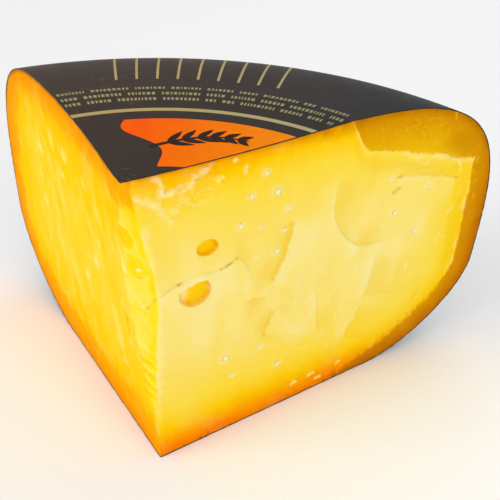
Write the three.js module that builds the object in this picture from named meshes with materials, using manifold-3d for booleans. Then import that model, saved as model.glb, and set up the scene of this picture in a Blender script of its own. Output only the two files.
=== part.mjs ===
// A quarter-like wedge of a big aged wheel of hard yellow cheese, standing on the wheel's flat bottom.
// The wheel is a turned solid with a round belly. Two slightly leaning cuts, which meet a little in
// front of the wheel's axis, take the wedge out of it. Where the cuts meet, the sharp front corner has
// crumbled away in shallow scoops, and one cut has opened two round gas holes, the eyes.
//
// Millimetres, +Z up. The wedge's front corner points towards -Y and its rind faces +Y. The origin is
// the middle of the bounding box, on the ground.

import * as THREE from 'three';
import { mergeVertices } from 'three/addons/utils/BufferGeometryUtils.js';
import Module from 'manifold-3d';

// ---------------------------------------------------------------- the whole wheel
const WHEEL_RADIUS = 175;
const WHEEL_HEIGHT = 123.4;
const FLAT_RADIUS = 120; // the flat round bottom that the wheel stands on
const BELLY_HEIGHT = 39; // where the wheel is widest
const SHOULDER_RADIUS = 97; // where the top starts to turn down into the side
const LOWER_ROUNDNESS = 1.75; // exponent of the lower superellipse, 2 is a true ellipse
const UPPER_ROUNDNESS = 3.3; // exponent of the upper one, which is squarer
const TOP_DISH = 4.3; // how far the middle of the top has sunk

// ---------------------------------------------------------------- the two cuts
// The cuts are given in the wheel's own frame, with the wheel's axis at x = 0, y = 0. Between the
// bottom and the top, each value changes evenly, so both cuts lean and twist a little.
const CORNER_BOTTOM = new THREE.Vector2(-12.3, 27.3);
const CORNER_TOP = new THREE.Vector2(-21.4, 27.8);
const CUTS = {
  left: { bottomDegrees: 135.1, topDegrees: 134.8, outward: 1 },
  right: { bottomDegrees: 48.8, topDegrees: 43.7, outward: -1 },
};

// Each swell or hollow that tearing has left on a cut: its middle, as the distance along the cut from
// the front corner and the height, how far it reaches, and how far it rises out of the cut.
const SWELLS = {
  left: [
    { along: 0, height: 121, reach: 24, rise: 2.6 }, // lip beside the top of the front corner
    { along: 42, height: 84, reach: 15, rise: -0.9 },
    { along: 63, height: 52, reach: 17, rise: 0.8 },
    { along: 92, height: 78, reach: 16, rise: -0.8 },
    { along: 118, height: 50, reach: 15, rise: 0.7 },
  ],
  right: [
    { along: 55, height: 72, reach: 13, rise: 0.5 },
    { along: 72, height: 50, reach: 16, rise: -0.6 },
    { along: 97, height: 86, reach: 17, rise: -0.8 },
    { along: 98, height: 40, reach: 18, rise: 0.5 },
    { along: 128, height: 72, reach: 15, rise: 0.4 },
  ],
};

// Scoops out of the front corner, mostly out of the left cut's side of it: height of the middle, half
// of the height, and depth of the bite.
const CORNER_SCOOPS = [
  { height: 90, halfHeight: 14, bite: 4.0 },
  { height: 74, halfHeight: 17, bite: 5.8 },
  { height: 56, halfHeight: 17, bite: 4.6 },
  { height: 41, halfHeight: 13, bite: 2.2 },
];
const SCOOP_HALF_WIDTH = 24;
const SCOOP_HALF_LENGTH = 13;
const SCOOP_LEFT_SHARE = 0.3; // 1 bites evenly into both cuts, 0 along the right cut only

// Round hollows that the right cut has opened: middle along the cut and height, half sizes along the
// cut, into the paste and upwards, and how far the long side is turned up.
const HOLLOWS = [
  { along: 26.5, height: 87, half: [4.5, 3.0, 3.3], turnDegrees: 4 }, // small eye
  { along: 20.5, height: 70, half: [6.5, 3.8, 5.8], turnDegrees: 8 }, // large eye
  { along: 111, height: 88, half: [2.6, 1.2, 1.0], turnDegrees: 30 }, // pit
  { along: 130, height: 30, half: [2.0, 0.9, 3.6], turnDegrees: -18 }, // dent
];

// ---------------------------------------------------------------- fineness of the faceted solid
const WHEEL_SEGMENTS = 96;
const LOWER_STEPS = 12;
const UPPER_STEPS = 20;
const DISH_STEPS = 6;
const CUT_GRID = 6; // spacing of the points on a cut
const SCOOP_SEGMENTS = [24, 16];
const HOLLOW_SEGMENTS = [20, 12];

const QUARTER_TURN = Math.PI / 2;
const UP = new THREE.Vector3(0, 0, 1);

/** Points of the wheel's outline, from the bottom's middle out and up to the top's middle. */
function wheelOutline() {
  const points = [new THREE.Vector2(0, 0)];
  for (let step = 0; step <= LOWER_STEPS; step += 1) {
    const turn = (QUARTER_TURN * step) / LOWER_STEPS;
    const out = Math.sin(turn) ** (2 / LOWER_ROUNDNESS);
    const down = Math.cos(turn) ** (2 / LOWER_ROUNDNESS);
    points.push(
      new THREE.Vector2(FLAT_RADIUS + (WHEEL_RADIUS - FLAT_RADIUS) * out, BELLY_HEIGHT * (1 - down)),
    );
  }
  for (let step = 1; step < UPPER_STEPS; step += 1) {
    const turn = (QUARTER_TURN * step) / UPPER_STEPS;
    const out = Math.cos(turn) ** (2 / UPPER_ROUNDNESS);
    const up = Math.sin(turn) ** (2 / UPPER_ROUNDNESS);
    points.push(
      new THREE.Vector2(
        SHOULDER_RADIUS + (WHEEL_RADIUS - SHOULDER_RADIUS) * out,
        BELLY_HEIGHT + (WHEEL_HEIGHT - BELLY_HEIGHT) * up,
      ),
    );
  }
  for (let step = 0; step <= DISH_STEPS; step += 1) {
    const share = 1 - step / DISH_STEPS;
    points.push(new THREE.Vector2(SHOULDER_RADIUS * share, WHEEL_HEIGHT - TOP_DISH * (1 - share ** 2)));
  }
  return points;
}

/** The whole wheel, turned about +Z. */
function wheelGeometry() {
  const geometry = new THREE.LatheGeometry(wheelOutline(), WHEEL_SEGMENTS);
  geometry.rotateX(QUARTER_TURN);
  return geometry;
}

/** The front corner's place at a height, in the wheel's frame. */
function cornerAt(height) {
  const place = CORNER_BOTTOM.clone().lerp(CORNER_TOP, height / WHEEL_HEIGHT);
  return new THREE.Vector3(place.x, place.y, height);
}

/** Unit vectors of a cut at a height: along it, away from the corner, and out of the paste. */
function cutDirections(cut, height) {
  const degrees = THREE.MathUtils.lerp(cut.bottomDegrees, cut.topDegrees, height / WHEEL_HEIGHT);
  const along = new THREE.Vector3(1, 0, 0).applyAxisAngle(UP, THREE.MathUtils.degToRad(degrees));
  const out = along.clone().applyAxisAngle(UP, QUARTER_TURN * cut.outward);
  return { along, out };
}

/** How far a cut's surface stands out of its even plane at a place: the sum of its round swells. */
function swellAt(swells, along, height) {
  return swells.reduce((sum, swell) => {
    const distance = Math.hypot(along - swell.along, height - swell.height);
    return sum + swell.rise * Math.exp(-((distance / swell.reach) ** 2));
  }, 0);
}

/** The point of a cut at a distance along it and a height, moved out of the paste by `out`. */
function cutPoint(side, along, height, out) {
  const directions = cutDirections(CUTS[side], height);
  return cornerAt(height).addScaledVector(directions.along, along).addScaledVector(directions.out, out);
}

/** All that lies outside one cut: a gridded block whose inner side follows the torn surface. */
function offcutGeometry(side) {
  const reach = 1.25 * WHEEL_RADIUS;
  const thickness = 2.3 * WHEEL_RADIUS;
  const overhang = 10; // above the top and below the bottom
  const tall = WHEEL_HEIGHT + 2 * overhang;
  const columns = Math.round((2 * reach) / CUT_GRID);
  const rows = Math.round(tall / CUT_GRID);
  const geometry = new THREE.BoxGeometry(2 * reach, thickness, tall, columns, 1, rows);
  geometry.translate(0, (CUTS[side].outward * thickness) / 2, tall / 2 - overhang);
  const places = geometry.attributes.position;
  for (let index = 0; index < places.count; index += 1) {
    const along = places.getX(index);
    const height = places.getZ(index);
    const outside = Math.abs(places.getY(index));
    const out = outside + swellAt(SWELLS[side], along, height);
    const point = cutPoint(side, along, height, out);
    places.setXYZ(index, point.x, point.y, point.z);
  }
  return geometry;
}

/** A ball stretched to three half sizes and set on three axes at a middle. */
function ellipsoidGeometry(half, segments, axes, middle) {
  const geometry = new THREE.SphereGeometry(1, ...segments);
  geometry.scale(...half);
  geometry.applyMatrix4(new THREE.Matrix4().makeBasis(...axes).setPosition(middle));
  return geometry;
}

/** One scoop out of the front corner, broader than it is deep, which bites towards the right cut. */
function scoopGeometry({ height, halfHeight, bite }) {
  const left = cutDirections(CUTS.left, height).along;
  const right = cutDirections(CUTS.right, height).along;
  const inwards = right.clone().addScaledVector(left, SCOOP_LEFT_SHARE).normalize();
  const across = inwards.clone().applyAxisAngle(UP, -QUARTER_TURN);
  const middle = cornerAt(height).addScaledVector(inwards, bite - SCOOP_HALF_LENGTH);
  const half = [SCOOP_HALF_WIDTH, SCOOP_HALF_LENGTH, halfHeight];
  return ellipsoidGeometry(half, SCOOP_SEGMENTS, [across, inwards, UP], middle);
}

/** One round hollow in the right cut, its middle a little inside the surface. */
function hollowGeometry({ along, height, half, turnDegrees }) {
  const directions = cutDirections(CUTS.right, height);
  const inwards = directions.out.clone().negate();
  const turn = THREE.MathUtils.degToRad(turnDegrees);
  const long = directions.along.clone().applyAxisAngle(inwards, -turn);
  const short = UP.clone().applyAxisAngle(inwards, -turn);
  const sunk = half[1] / 5;
  const middle = cutPoint('right', along, height, swellAt(SWELLS.right, along, height) - sunk);
  return ellipsoidGeometry(half, HOLLOW_SEGMENTS, [long, inwards, short], middle);
}

const wasm = await Module();
wasm.setup();

/** A geometry as a solid that can be cut, with its shared points merged and no triangle of no area. */
function solidOf(geometry) {
  const bare = geometry.clone();
  bare.deleteAttribute('normal');
  bare.deleteAttribute('uv');
  const merged = mergeVertices(bare, 1e-4);
  const corners = merged.index.array;
  const kept = [];
  for (let first = 0; first < corners.length; first += 3) {
    const [a, b, c] = corners.slice(first, first + 3);
    if (a !== b && b !== c && c !== a) {
      kept.push(a, b, c);
    }
  }
  const mesh = new wasm.Mesh({
    numProp: 3,
    vertProperties: new Float32Array(merged.attributes.position.array),
    triVerts: new Uint32Array(kept),
  });
  return new wasm.Manifold(mesh);
}

/** A cut solid as a geometry again. */
function geometryOf(solid) {
  const mesh = solid.getMesh();
  const geometry = new THREE.BufferGeometry();
  geometry.setAttribute('position', new THREE.BufferAttribute(mesh.vertProperties, 3));
  geometry.setIndex(new THREE.BufferAttribute(mesh.triVerts, 1));
  return geometry;
}

/** The wedge, with its bounding box's bottom middle at the origin. */
function wedgeGeometry() {
  const taken = [
    offcutGeometry('left'),
    offcutGeometry('right'),
    ...CORNER_SCOOPS.map(scoopGeometry),
    ...HOLLOWS.map(hollowGeometry),
  ];
  const wedge = taken.reduce((rest, piece) => rest.subtract(solidOf(piece)), solidOf(wheelGeometry()));
  const geometry = geometryOf(wedge);
  geometry.computeBoundingBox();
  const { min, max } = geometry.boundingBox;
  geometry.translate(-(min.x + max.x) / 2, -(min.y + max.y) / 2, -min.z);
  geometry.computeVertexNormals();
  return geometry;
}

const paste = new THREE.MeshStandardMaterial({ color: 0xf6d24a, roughness: 0.55, metalness: 0 });
const wedge = new THREE.Mesh(wedgeGeometry(), paste);
wedge.name = 'cheese_wedge';

const part = new THREE.Group();
part.add(wedge);

export default part;
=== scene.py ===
"""The looks of a wedge of aged yellow cheese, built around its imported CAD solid.

The wedge is a piece of a turned wheel between two torn cuts. The paste is one closed body: two gridded
cuts with their tears, cracks, eyes and crumbled front corner, and the round side between them. A thin
black coat covers the top, the side and the bottom, and carries a printed label of thin sheets. White
crystals sit in the right cut. Shapes are worked out in millimetres in the wheel's own frame, with the
wheel's axis at x = 0, y = 0, and moved to the CAD frame in metres when a mesh is made.
"""

import logging
import math
from collections.abc import Sequence
from dataclasses import dataclass, field
from enum import Enum

import bmesh
import bpy
import numpy as np
from mathutils import Matrix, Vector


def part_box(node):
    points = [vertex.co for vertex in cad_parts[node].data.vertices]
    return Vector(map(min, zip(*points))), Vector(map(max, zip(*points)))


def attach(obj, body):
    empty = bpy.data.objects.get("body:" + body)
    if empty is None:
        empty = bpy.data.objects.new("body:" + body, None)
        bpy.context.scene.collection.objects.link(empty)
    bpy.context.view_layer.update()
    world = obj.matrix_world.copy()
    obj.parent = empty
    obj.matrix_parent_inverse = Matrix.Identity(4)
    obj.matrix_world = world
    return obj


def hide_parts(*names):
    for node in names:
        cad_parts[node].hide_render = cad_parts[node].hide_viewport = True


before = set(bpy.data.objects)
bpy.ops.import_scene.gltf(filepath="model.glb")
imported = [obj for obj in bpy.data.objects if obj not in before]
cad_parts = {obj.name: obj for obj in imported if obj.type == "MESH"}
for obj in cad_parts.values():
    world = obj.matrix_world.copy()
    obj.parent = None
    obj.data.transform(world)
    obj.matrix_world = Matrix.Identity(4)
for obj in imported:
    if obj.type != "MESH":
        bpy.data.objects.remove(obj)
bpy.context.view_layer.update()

LOG = logging.getLogger("cheese_wedge")
NODE = "cheese_wedge"
MM = 0.001
AXIS_X = 10.804  # the wheel axis's place along X in the CAD frame, in millimetres

Array = np.ndarray
Point = tuple[float, float]


# ---------------------------------------------------------------- small mathematics


def smooth(share: Array) -> Array:
    """Eases a share from 0 to 1 with level ends: 3t² - 2t³, held at 0 and 1 outside."""
    held = np.clip(share, 0.0, 1.0)
    return held * held * (3.0 - 2.0 * held)


def ramp(value: Array, start: float, run: float) -> Array:
    """An eased share that is 0 at `start` and 1 a `run` past it; a run below 0 goes downwards."""
    return smooth((value - start) / run)


def bell(distance: Array, reach: float) -> Array:
    """A round bell that is 1 at distance 0: exp(-(distance / reach)²)."""
    return np.exp(-((distance / reach) ** 2))


def lattice_noise(x: Array, y: Array, spacing: float, seed: int) -> Array:
    """Smooth random heights: random numbers on a square lattice, eased between its points.

    Args:
        x: First coordinate of each place, in millimetres.
        y: Second coordinate of each place.
        spacing: Distance between lattice points.
        seed: Picks the random numbers.

    Returns:
        A value from -1 to 1 for each place.
    """
    size = 128
    table = np.random.default_rng(seed).uniform(-1.0, 1.0, (size, size))
    across, up = x / spacing, y / spacing
    column, row = np.floor(across).astype(int), np.floor(up).astype(int)
    right, above = smooth(across - column), smooth(up - row)
    here = table[column % size, row % size] * (1 - right) + table[(column + 1) % size, row % size] * right
    over = (
        table[column % size, (row + 1) % size] * (1 - right)
        + table[(column + 1) % size, (row + 1) % size] * right
    )
    return here * (1 - above) + over * above


def rough_noise(x: Array, y: Array, spacing: float, seed: int, layers: int = 3) -> Array:
    """Lattice noises added up, each layer half as wide and half as high as the one before."""
    total = np.zeros_like(x)
    for layer in range(layers):
        total += lattice_noise(x, y, spacing / 2**layer, seed + layer) / 2**layer
    return total


def rounded(points: Sequence[Point], passes: int = 2) -> Array:
    """Rounds a line's corners by cutting each at a quarter of its sides, `passes` times over."""
    line = np.array(points, float)
    for _ in range(passes):
        early = 0.75 * line[:-1] + 0.25 * line[1:]
        late = 0.25 * line[:-1] + 0.75 * line[1:]
        inner = np.stack([early, late], axis=1).reshape(-1, 2)
        line = np.vstack([line[:1], inner[1:-1], line[-1:]])
    return line


def bowed(start: Point, end: Point, bow: float = 0.0, points: int = 9) -> tuple[Point, ...]:
    """A line between two points that bows out to its left hand by `bow` in its middle: a parabola."""
    share = np.linspace(0.0, 1.0, points)
    span = np.subtract(end, start)
    left = np.array([-span[1], span[0]]) / math.hypot(*span)
    line = np.array(start) + share[:, None] * span + (4.0 * bow * share * (1.0 - share))[:, None] * left
    return tuple((float(x), float(y)) for x, y in line)


def chained(start: Point, *stretches: tuple[Point, float]) -> tuple[Point, ...]:
    """A line of several bowed stretches, each given by its end and its bow."""
    line = [start]
    for end, bow in stretches:
        line += bowed(line[-1], end, bow)[1:]
    return tuple(line)


@dataclass(frozen=True)
class Zone:
    """A round-edged part of a cut over which small things are strewn at random, kept apart."""

    along: float
    height: float
    half_along: float
    half_up: float
    count: int
    seed: int
    apart: float = 3.0

    TRIES = 60  # random places tried for each one wanted

    def draw(self) -> tuple[list[Point], np.random.Generator]:
        """Random places, each at least `apart` from those before it, and the generator for their sizes."""
        rng = np.random.default_rng(self.seed)
        chosen: list[Point] = []
        for _ in range(self.TRIES * self.count):
            turn, share = rng.uniform(0.0, 2.0 * math.pi), math.sqrt(rng.uniform())
            place = (
                self.along + self.half_along * share * math.cos(turn),
                self.height + self.half_up * share * math.sin(turn),
            )
            if len(chosen) < self.count and all(math.dist(place, other) >= self.apart for other in chosen):
                chosen.append(place)
        return chosen, rng


VERY_FAR = 1e3  # the distance in millimetres that places beyond a line's reach are given


@dataclass(frozen=True)
class Nearest:
    """For each of many places, how it lies beside a line."""

    signed: Array  # the distance, positive on the line's left hand
    run: Array  # how far along the line its nearest point is
    from_end: Array  # how far that is from the nearer end
    foot: Array  # the line's nearest point


def beside(x: Array, y: Array, line: Array, reach: float = math.inf) -> Nearest:
    """How places lie beside a line of straight stretches.

    Args:
        x: First coordinate of each place.
        y: Second coordinate of each place.
        line: The line's points, one row each.
        reach: Places that lie further off than this are all counted as very far.

    Returns:
        Their distances and nearest points.
    """
    low, high = line.min(axis=0) - reach, line.max(axis=0) + reach
    inside = (x > low[0]) & (x < high[0]) & (y > low[1]) & (y < high[1])
    places = np.stack([x[inside], y[inside]], axis=1)
    starts, spans = line[:-1], np.diff(line, axis=0)
    lengths = np.hypot(spans[:, 0], spans[:, 1])
    run_before = np.concatenate([[0.0], np.cumsum(lengths)[:-1]])
    best, signed, run = np.full(len(places), np.inf), np.zeros(len(places)), np.zeros(len(places))
    foot = places.copy()
    for start, span, length, before in zip(starts, spans, lengths, run_before):
        offset = places - start
        share = np.clip(offset @ span / length**2, 0.0, 1.0)
        gap = offset - share[:, None] * span
        distance = np.hypot(gap[:, 0], gap[:, 1])
        nearer = distance < best
        hand = np.where(span[0] * offset[:, 1] - span[1] * offset[:, 0] < 0.0, -1.0, 1.0)
        best = np.where(nearer, distance, best)
        signed = np.where(nearer, hand * distance, signed)
        run = np.where(nearer, before + share * length, run)
        foot = np.where(nearer[:, None], places - gap, foot)
    far = np.full(x.shape, VERY_FAR)
    full = Nearest(far, np.zeros(x.shape), np.zeros(x.shape), np.stack([x, y], axis=-1))
    full.signed[inside] = signed
    full.run[inside] = run
    full.from_end[inside] = np.minimum(run, lengths.sum() - run)
    full.foot[inside] = foot
    return full


def headings(path: Array) -> Array:
    """Unit vectors along a path, one at each of its points."""
    ways = np.gradient(path, axis=0)
    return ways / np.hypot(ways[:, 0], ways[:, 1])[:, None]


def spread_along(path: Array, shares: Array) -> Array:
    """The points of a path at shares of its length."""
    steps = np.hypot(*np.diff(path, axis=0).T)
    run = np.concatenate([[0.0], np.cumsum(steps)])
    at = shares * run[-1]
    return np.stack([np.interp(at, run, path[:, 0]), np.interp(at, run, path[:, 1])], axis=1)


# ---------------------------------------------------------------- meshes


@dataclass
class Faces:
    """Points in millimetres and the four-cornered faces between them, ready to become a mesh."""

    points: Array
    quads: Array
    values: dict[str, Array] = field(default_factory=dict)

    @staticmethod
    def grid(points: Array, flip: bool = False, values: dict[str, Array] | None = None) -> "Faces":
        """The faces of a grid of points.

        Args:
            points: A grid of rows and columns of points.
            flip: Whether to turn the faces over.
            values: Named numbers, one for each point of the grid.

        Returns:
            The grid's points and faces as one list each.
        """
        rows, columns = points.shape[:2]
        index = np.arange(rows * columns).reshape(rows, columns)
        corners = [index[:-1, :-1], index[1:, :-1], index[1:, 1:], index[:-1, 1:]]
        quads = np.stack([corner.ravel() for corner in corners], axis=1)
        named = {name: grid.ravel() for name, grid in (values or {}).items()}
        return Faces(points.reshape(-1, 3), quads[:, ::-1] if flip else quads, named)

    @staticmethod
    def joined(parts: Sequence["Faces"]) -> "Faces":
        """Several sets of faces as one."""
        starts = np.cumsum([0] + [len(part.points) for part in parts[:-1]])
        names = parts[0].values.keys()
        return Faces(
            np.vstack([part.points for part in parts]),
            np.vstack([part.quads + start for part, start in zip(parts, starts)]),
            {name: np.concatenate([part.values[name] for part in parts]) for name in names},
        )

    @staticmethod
    def slab(outer: Array, inner: Array) -> "Faces":
        """A closed thin body between two grids of points: both grids and a wall round their edges."""
        edges = [
            np.stack([outer[0], inner[0]]),
            np.stack([inner[-1], outer[-1]]),
            np.stack([inner[:, 0], outer[:, 0]]),
            np.stack([outer[:, -1], inner[:, -1]]),
        ]
        walls = [Faces.grid(edge) for edge in edges]
        return Faces.joined([Faces.grid(outer), Faces.grid(inner, flip=True), *walls])


def placed(name: str, data: bpy.types.ID) -> bpy.types.Object:
    """A new object in the scene that shows a mesh, a light or a camera."""
    obj = bpy.data.objects.new(name, data)
    bpy.context.scene.collection.objects.link(obj)
    return obj


class Maker:
    """Turns faces in the wheel's frame into pieces in the CAD frame."""

    WELD = 1e-4  # points nearer than this, in millimetres, become one

    def __init__(self, axis: Array) -> None:
        """Keeps the wheel axis's place in the CAD frame, in millimetres."""
        self.axis = np.array([axis[0], axis[1], 0.0])

    def piece(self, name: str, faces: Faces, sharp_degrees: float = 180.0) -> bpy.types.Object:
        """Makes a piece of the wedge that rides on its one body.

        Args:
            name: The piece's name.
            faces: Its points, faces and named numbers.
            sharp_degrees: Edges that bend more than this stay sharp in the shading.

        Returns:
            The new object, at the origin, with its place in its mesh.
        """
        keys = np.round(faces.points / self.WELD).astype(np.int64)
        _, first, merged = np.unique(keys, axis=0, return_index=True, return_inverse=True)
        quads = merged.reshape(-1)[faces.quads]
        repeated = quads == np.roll(quads, -1, axis=1)
        corners = 4 - repeated.sum(axis=1)
        triangles = quads[corners == 3][~repeated[corners == 3]].reshape(-1, 3)
        mesh = bpy.data.meshes.new(name)
        places = (faces.points[first] + self.axis) * MM
        mesh.from_pydata(places.tolist(), [], quads[corners == 4].tolist() + triangles.tolist())
        for label, numbers in faces.values.items():
            attribute = mesh.attributes.new(label, "FLOAT", "POINT")
            attribute.data.foreach_set("value", numbers[first].astype(np.float32))
        self._turn_outwards(mesh)
        mesh.shade_smooth()
        mesh.set_sharp_from_angle(angle=math.radians(sharp_degrees))
        obj = placed(name, mesh)
        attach(obj, "root")
        LOG.info("%s: %d faces", name, len(mesh.polygons))
        return obj

    @staticmethod
    def _turn_outwards(mesh: bpy.types.Mesh) -> None:
        """Turns all faces of a closed mesh outwards."""
        work = bmesh.new()
        work.from_mesh(mesh)
        bmesh.ops.recalc_face_normals(work, faces=work.faces)
        work.to_mesh(mesh)
        work.free()


# ---------------------------------------------------------------- the wheel and its two cuts


class Side(Enum):
    """The two cuts, as seen by someone who looks at the front corner."""

    LEFT = "left"
    RIGHT = "right"


@dataclass(frozen=True)
class Wheel:
    """The whole turned wheel: a flat bottom, a round belly and a slightly dished top, in millimetres."""

    radius: float = 175.0
    height: float = 123.4
    flat_radius: float = 120.0
    belly_height: float = 39.0
    shoulder_radius: float = 97.0
    lower_roundness: float = 1.75
    upper_roundness: float = 3.3
    top_dish: float = 4.3

    def top_height(self, radius: Array) -> Array:
        """Height of the dished top: it falls with the square of the way from the shoulder inwards."""
        share = np.clip(radius / self.shoulder_radius, 0.0, 1.0)
        return self.height - self.top_dish * (1.0 - share**2)

    def lower_arc(self, start: float, end: float) -> Array:
        """Points of the lower superellipse between two angles, 0 at the flat bottom, 90 at the belly."""
        angle = np.radians(np.linspace(start, end, 200))
        power = self.lower_roundness
        size = (np.cos(angle) ** power + np.sin(angle) ** power) ** (-1.0 / power)
        out = self.flat_radius + (self.radius - self.flat_radius) * np.sin(angle) * size
        return np.stack([out, self.belly_height * (1.0 - np.cos(angle) * size)], axis=1)

    def upper_arc(self, start: float, end: float) -> Array:
        """Points of the upper superellipse between two angles, 0 at the belly, 90 at the shoulder."""
        angle = np.radians(np.linspace(start, end, 200))
        power = self.upper_roundness
        size = (np.cos(angle) ** power + np.sin(angle) ** power) ** (-1.0 / power)
        out = self.shoulder_radius + (self.radius - self.shoulder_radius) * np.cos(angle) * size
        rise = (self.height - self.belly_height) * np.sin(angle) * size
        return np.stack([out, self.belly_height + rise], axis=1)

    def dish(self, start: float, end: float) -> Array:
        """Points of the dished top between two radii."""
        radius = np.linspace(start, end, 100)
        return np.stack([radius, self.top_height(radius)], axis=1)


@dataclass(frozen=True)
class Swell:
    """A broad round swell or hollow of a cut, in millimetres along the cut, up, wide and out."""

    along: float
    height: float
    reach: float
    rise: float

    def out(self, along: Array, height: Array) -> Array:
        """How far the cut stands out at each place: the rise times a bell round the middle."""
        return self.rise * bell(np.hypot(along - self.along, height - self.height), self.reach)


@dataclass(frozen=True)
class Cut:
    """One torn cut: it leaves the front corner at angles that change evenly from bottom to top."""

    bottom_degrees: float
    top_degrees: float
    outward: float
    swells: tuple[Swell, ...]

    def swell(self, along: Array, height: Array) -> Array:
        """How far all the swells together stand out at each place."""
        return sum(swell.out(along, height) for swell in self.swells)


@dataclass(frozen=True)
class Wedge:
    """The piece of the wheel between the two cuts.

    A place on a cut is its distance along the cut from the front corner's line and its height. The
    `proud` of some methods is how far a surface stands out of the cut all over, such as a coat's edge.
    """

    wheel: Wheel = Wheel()
    corner_bottom: Point = (-12.3, 27.3)
    corner_top: Point = (-21.4, 27.8)
    shoulder_sag: float = 0.4  # greatest at this radius, and gone a few reaches from it
    sag_radius: float = 148.0
    sag_reach: float = 22.0
    sag_climb: Point = (70.0, 45.0)  # the height at which it starts, and how much higher it is whole
    sag_fade: Point = (52.0, 26.0)  # the turn up to which it is whole, and over which it then fades
    cuts: dict[Side, Cut] = field(
        default_factory=lambda: {
            Side.LEFT: Cut(
                bottom_degrees=135.1,
                top_degrees=134.8,
                outward=1.0,
                swells=(
                    Swell(0, 121, 24, 2.6),
                    Swell(42, 84, 15, -0.9),
                    Swell(63, 52, 17, 0.8),
                    Swell(92, 78, 16, -0.8),
                    Swell(118, 50, 15, 0.7),
                ),
            ),
            Side.RIGHT: Cut(
                bottom_degrees=48.8,
                top_degrees=43.7,
                outward=-1.0,
                swells=(
                    Swell(55, 72, 13, 0.5),
                    Swell(72, 50, 16, -0.6),
                    Swell(97, 86, 17, -0.8),
                    Swell(98, 40, 18, 0.5),
                    Swell(128, 72, 15, 0.4),
                ),
            ),
        }
    )

    def share_up(self, height: Array) -> Array:
        """Height as a share of the wheel's."""
        return np.asarray(height, float) / self.wheel.height

    def corner(self, height: Array) -> Array:
        """Where the two even cut planes meet at each height."""
        share = self.share_up(height)[..., None]
        return np.array(self.corner_bottom) * (1.0 - share) + np.array(self.corner_top) * share

    def directions(self, side: Side, height: Array) -> tuple[Array, Array]:
        """Unit vectors along a cut, away from the corner, and out of the paste, at each height."""
        cut = self.cuts[side]
        share = self.share_up(height)
        turn = np.radians(cut.bottom_degrees * (1.0 - share) + cut.top_degrees * share)
        along = np.stack([np.cos(turn), np.sin(turn)], axis=-1)
        out = cut.outward * np.stack([-np.sin(turn), np.cos(turn)], axis=-1)
        return along, out

    def place(self, side: Side, along: Array, height: Array, out: Array) -> Array:
        """The points of a cut at distances along it and heights, moved out of the paste by `out`."""
        forward, outwards = self.directions(side, height)
        flat = self.corner(height) + forward * along[..., None] + outwards * out[..., None]
        return np.concatenate([flat, np.asarray(height)[..., None]], axis=-1)

    def front(self, height: Array, proud: Array) -> dict[Side, Array]:
        """Distance along each cut at which the two swollen cuts meet, at each height.

        The meeting point is moved from the even corner by the one vector whose parts along the two
        outward directions are the two cuts' swells there.
        """
        start = {side: np.zeros_like(height) for side in Side}
        for _ in range(4):
            ways = {side: self.directions(side, height) for side in Side}
            outs = {side: self.cuts[side].swell(start[side], height) + proud for side in Side}
            facing = np.stack([ways[side][1] for side in Side], axis=-2)
            stands = np.stack([outs[side] for side in Side], axis=-1)
            shift = np.linalg.solve(facing, stands[..., None])[..., 0]
            start = {side: (shift * ways[side][0]).sum(axis=-1) for side in Side}
        return start

    def rim(self, side: Side, radius: Array, height: Array, proud: Array) -> Array:
        """Distance along a cut at which its surface reaches each radius: the root of |place| = radius."""
        forward, outwards = self.directions(side, height)
        corner = self.corner(height)
        along_part = (corner * forward).sum(axis=-1)
        out_part = (corner * outwards).sum(axis=-1)
        along = np.sqrt(np.maximum(radius**2 - out_part**2, 0.0)) - along_part
        for _ in range(5):
            out = self.cuts[side].swell(along, height) + proud
            along = np.sqrt(np.maximum(radius**2 - (out_part + out) ** 2, 0.0)) - along_part
        return along

    def sagged(self, points: Array) -> Array:
        """Points with the wheel's uneven shoulder let down a little beside the right cut.

        The sag fades inwards and outwards, downwards, and with the turn away from the cut.
        """
        radius = np.hypot(points[..., 0], points[..., 1])
        turn = np.degrees(np.arctan2(points[..., 1], points[..., 0]))
        fade = bell(radius - self.sag_radius, self.sag_reach) * ramp(points[..., 2], *self.sag_climb)
        fade = fade * (1.0 - ramp(turn, *self.sag_fade))
        moved = points.copy()
        moved[..., 2] -= self.shoulder_sag * fade
        return moved


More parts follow.
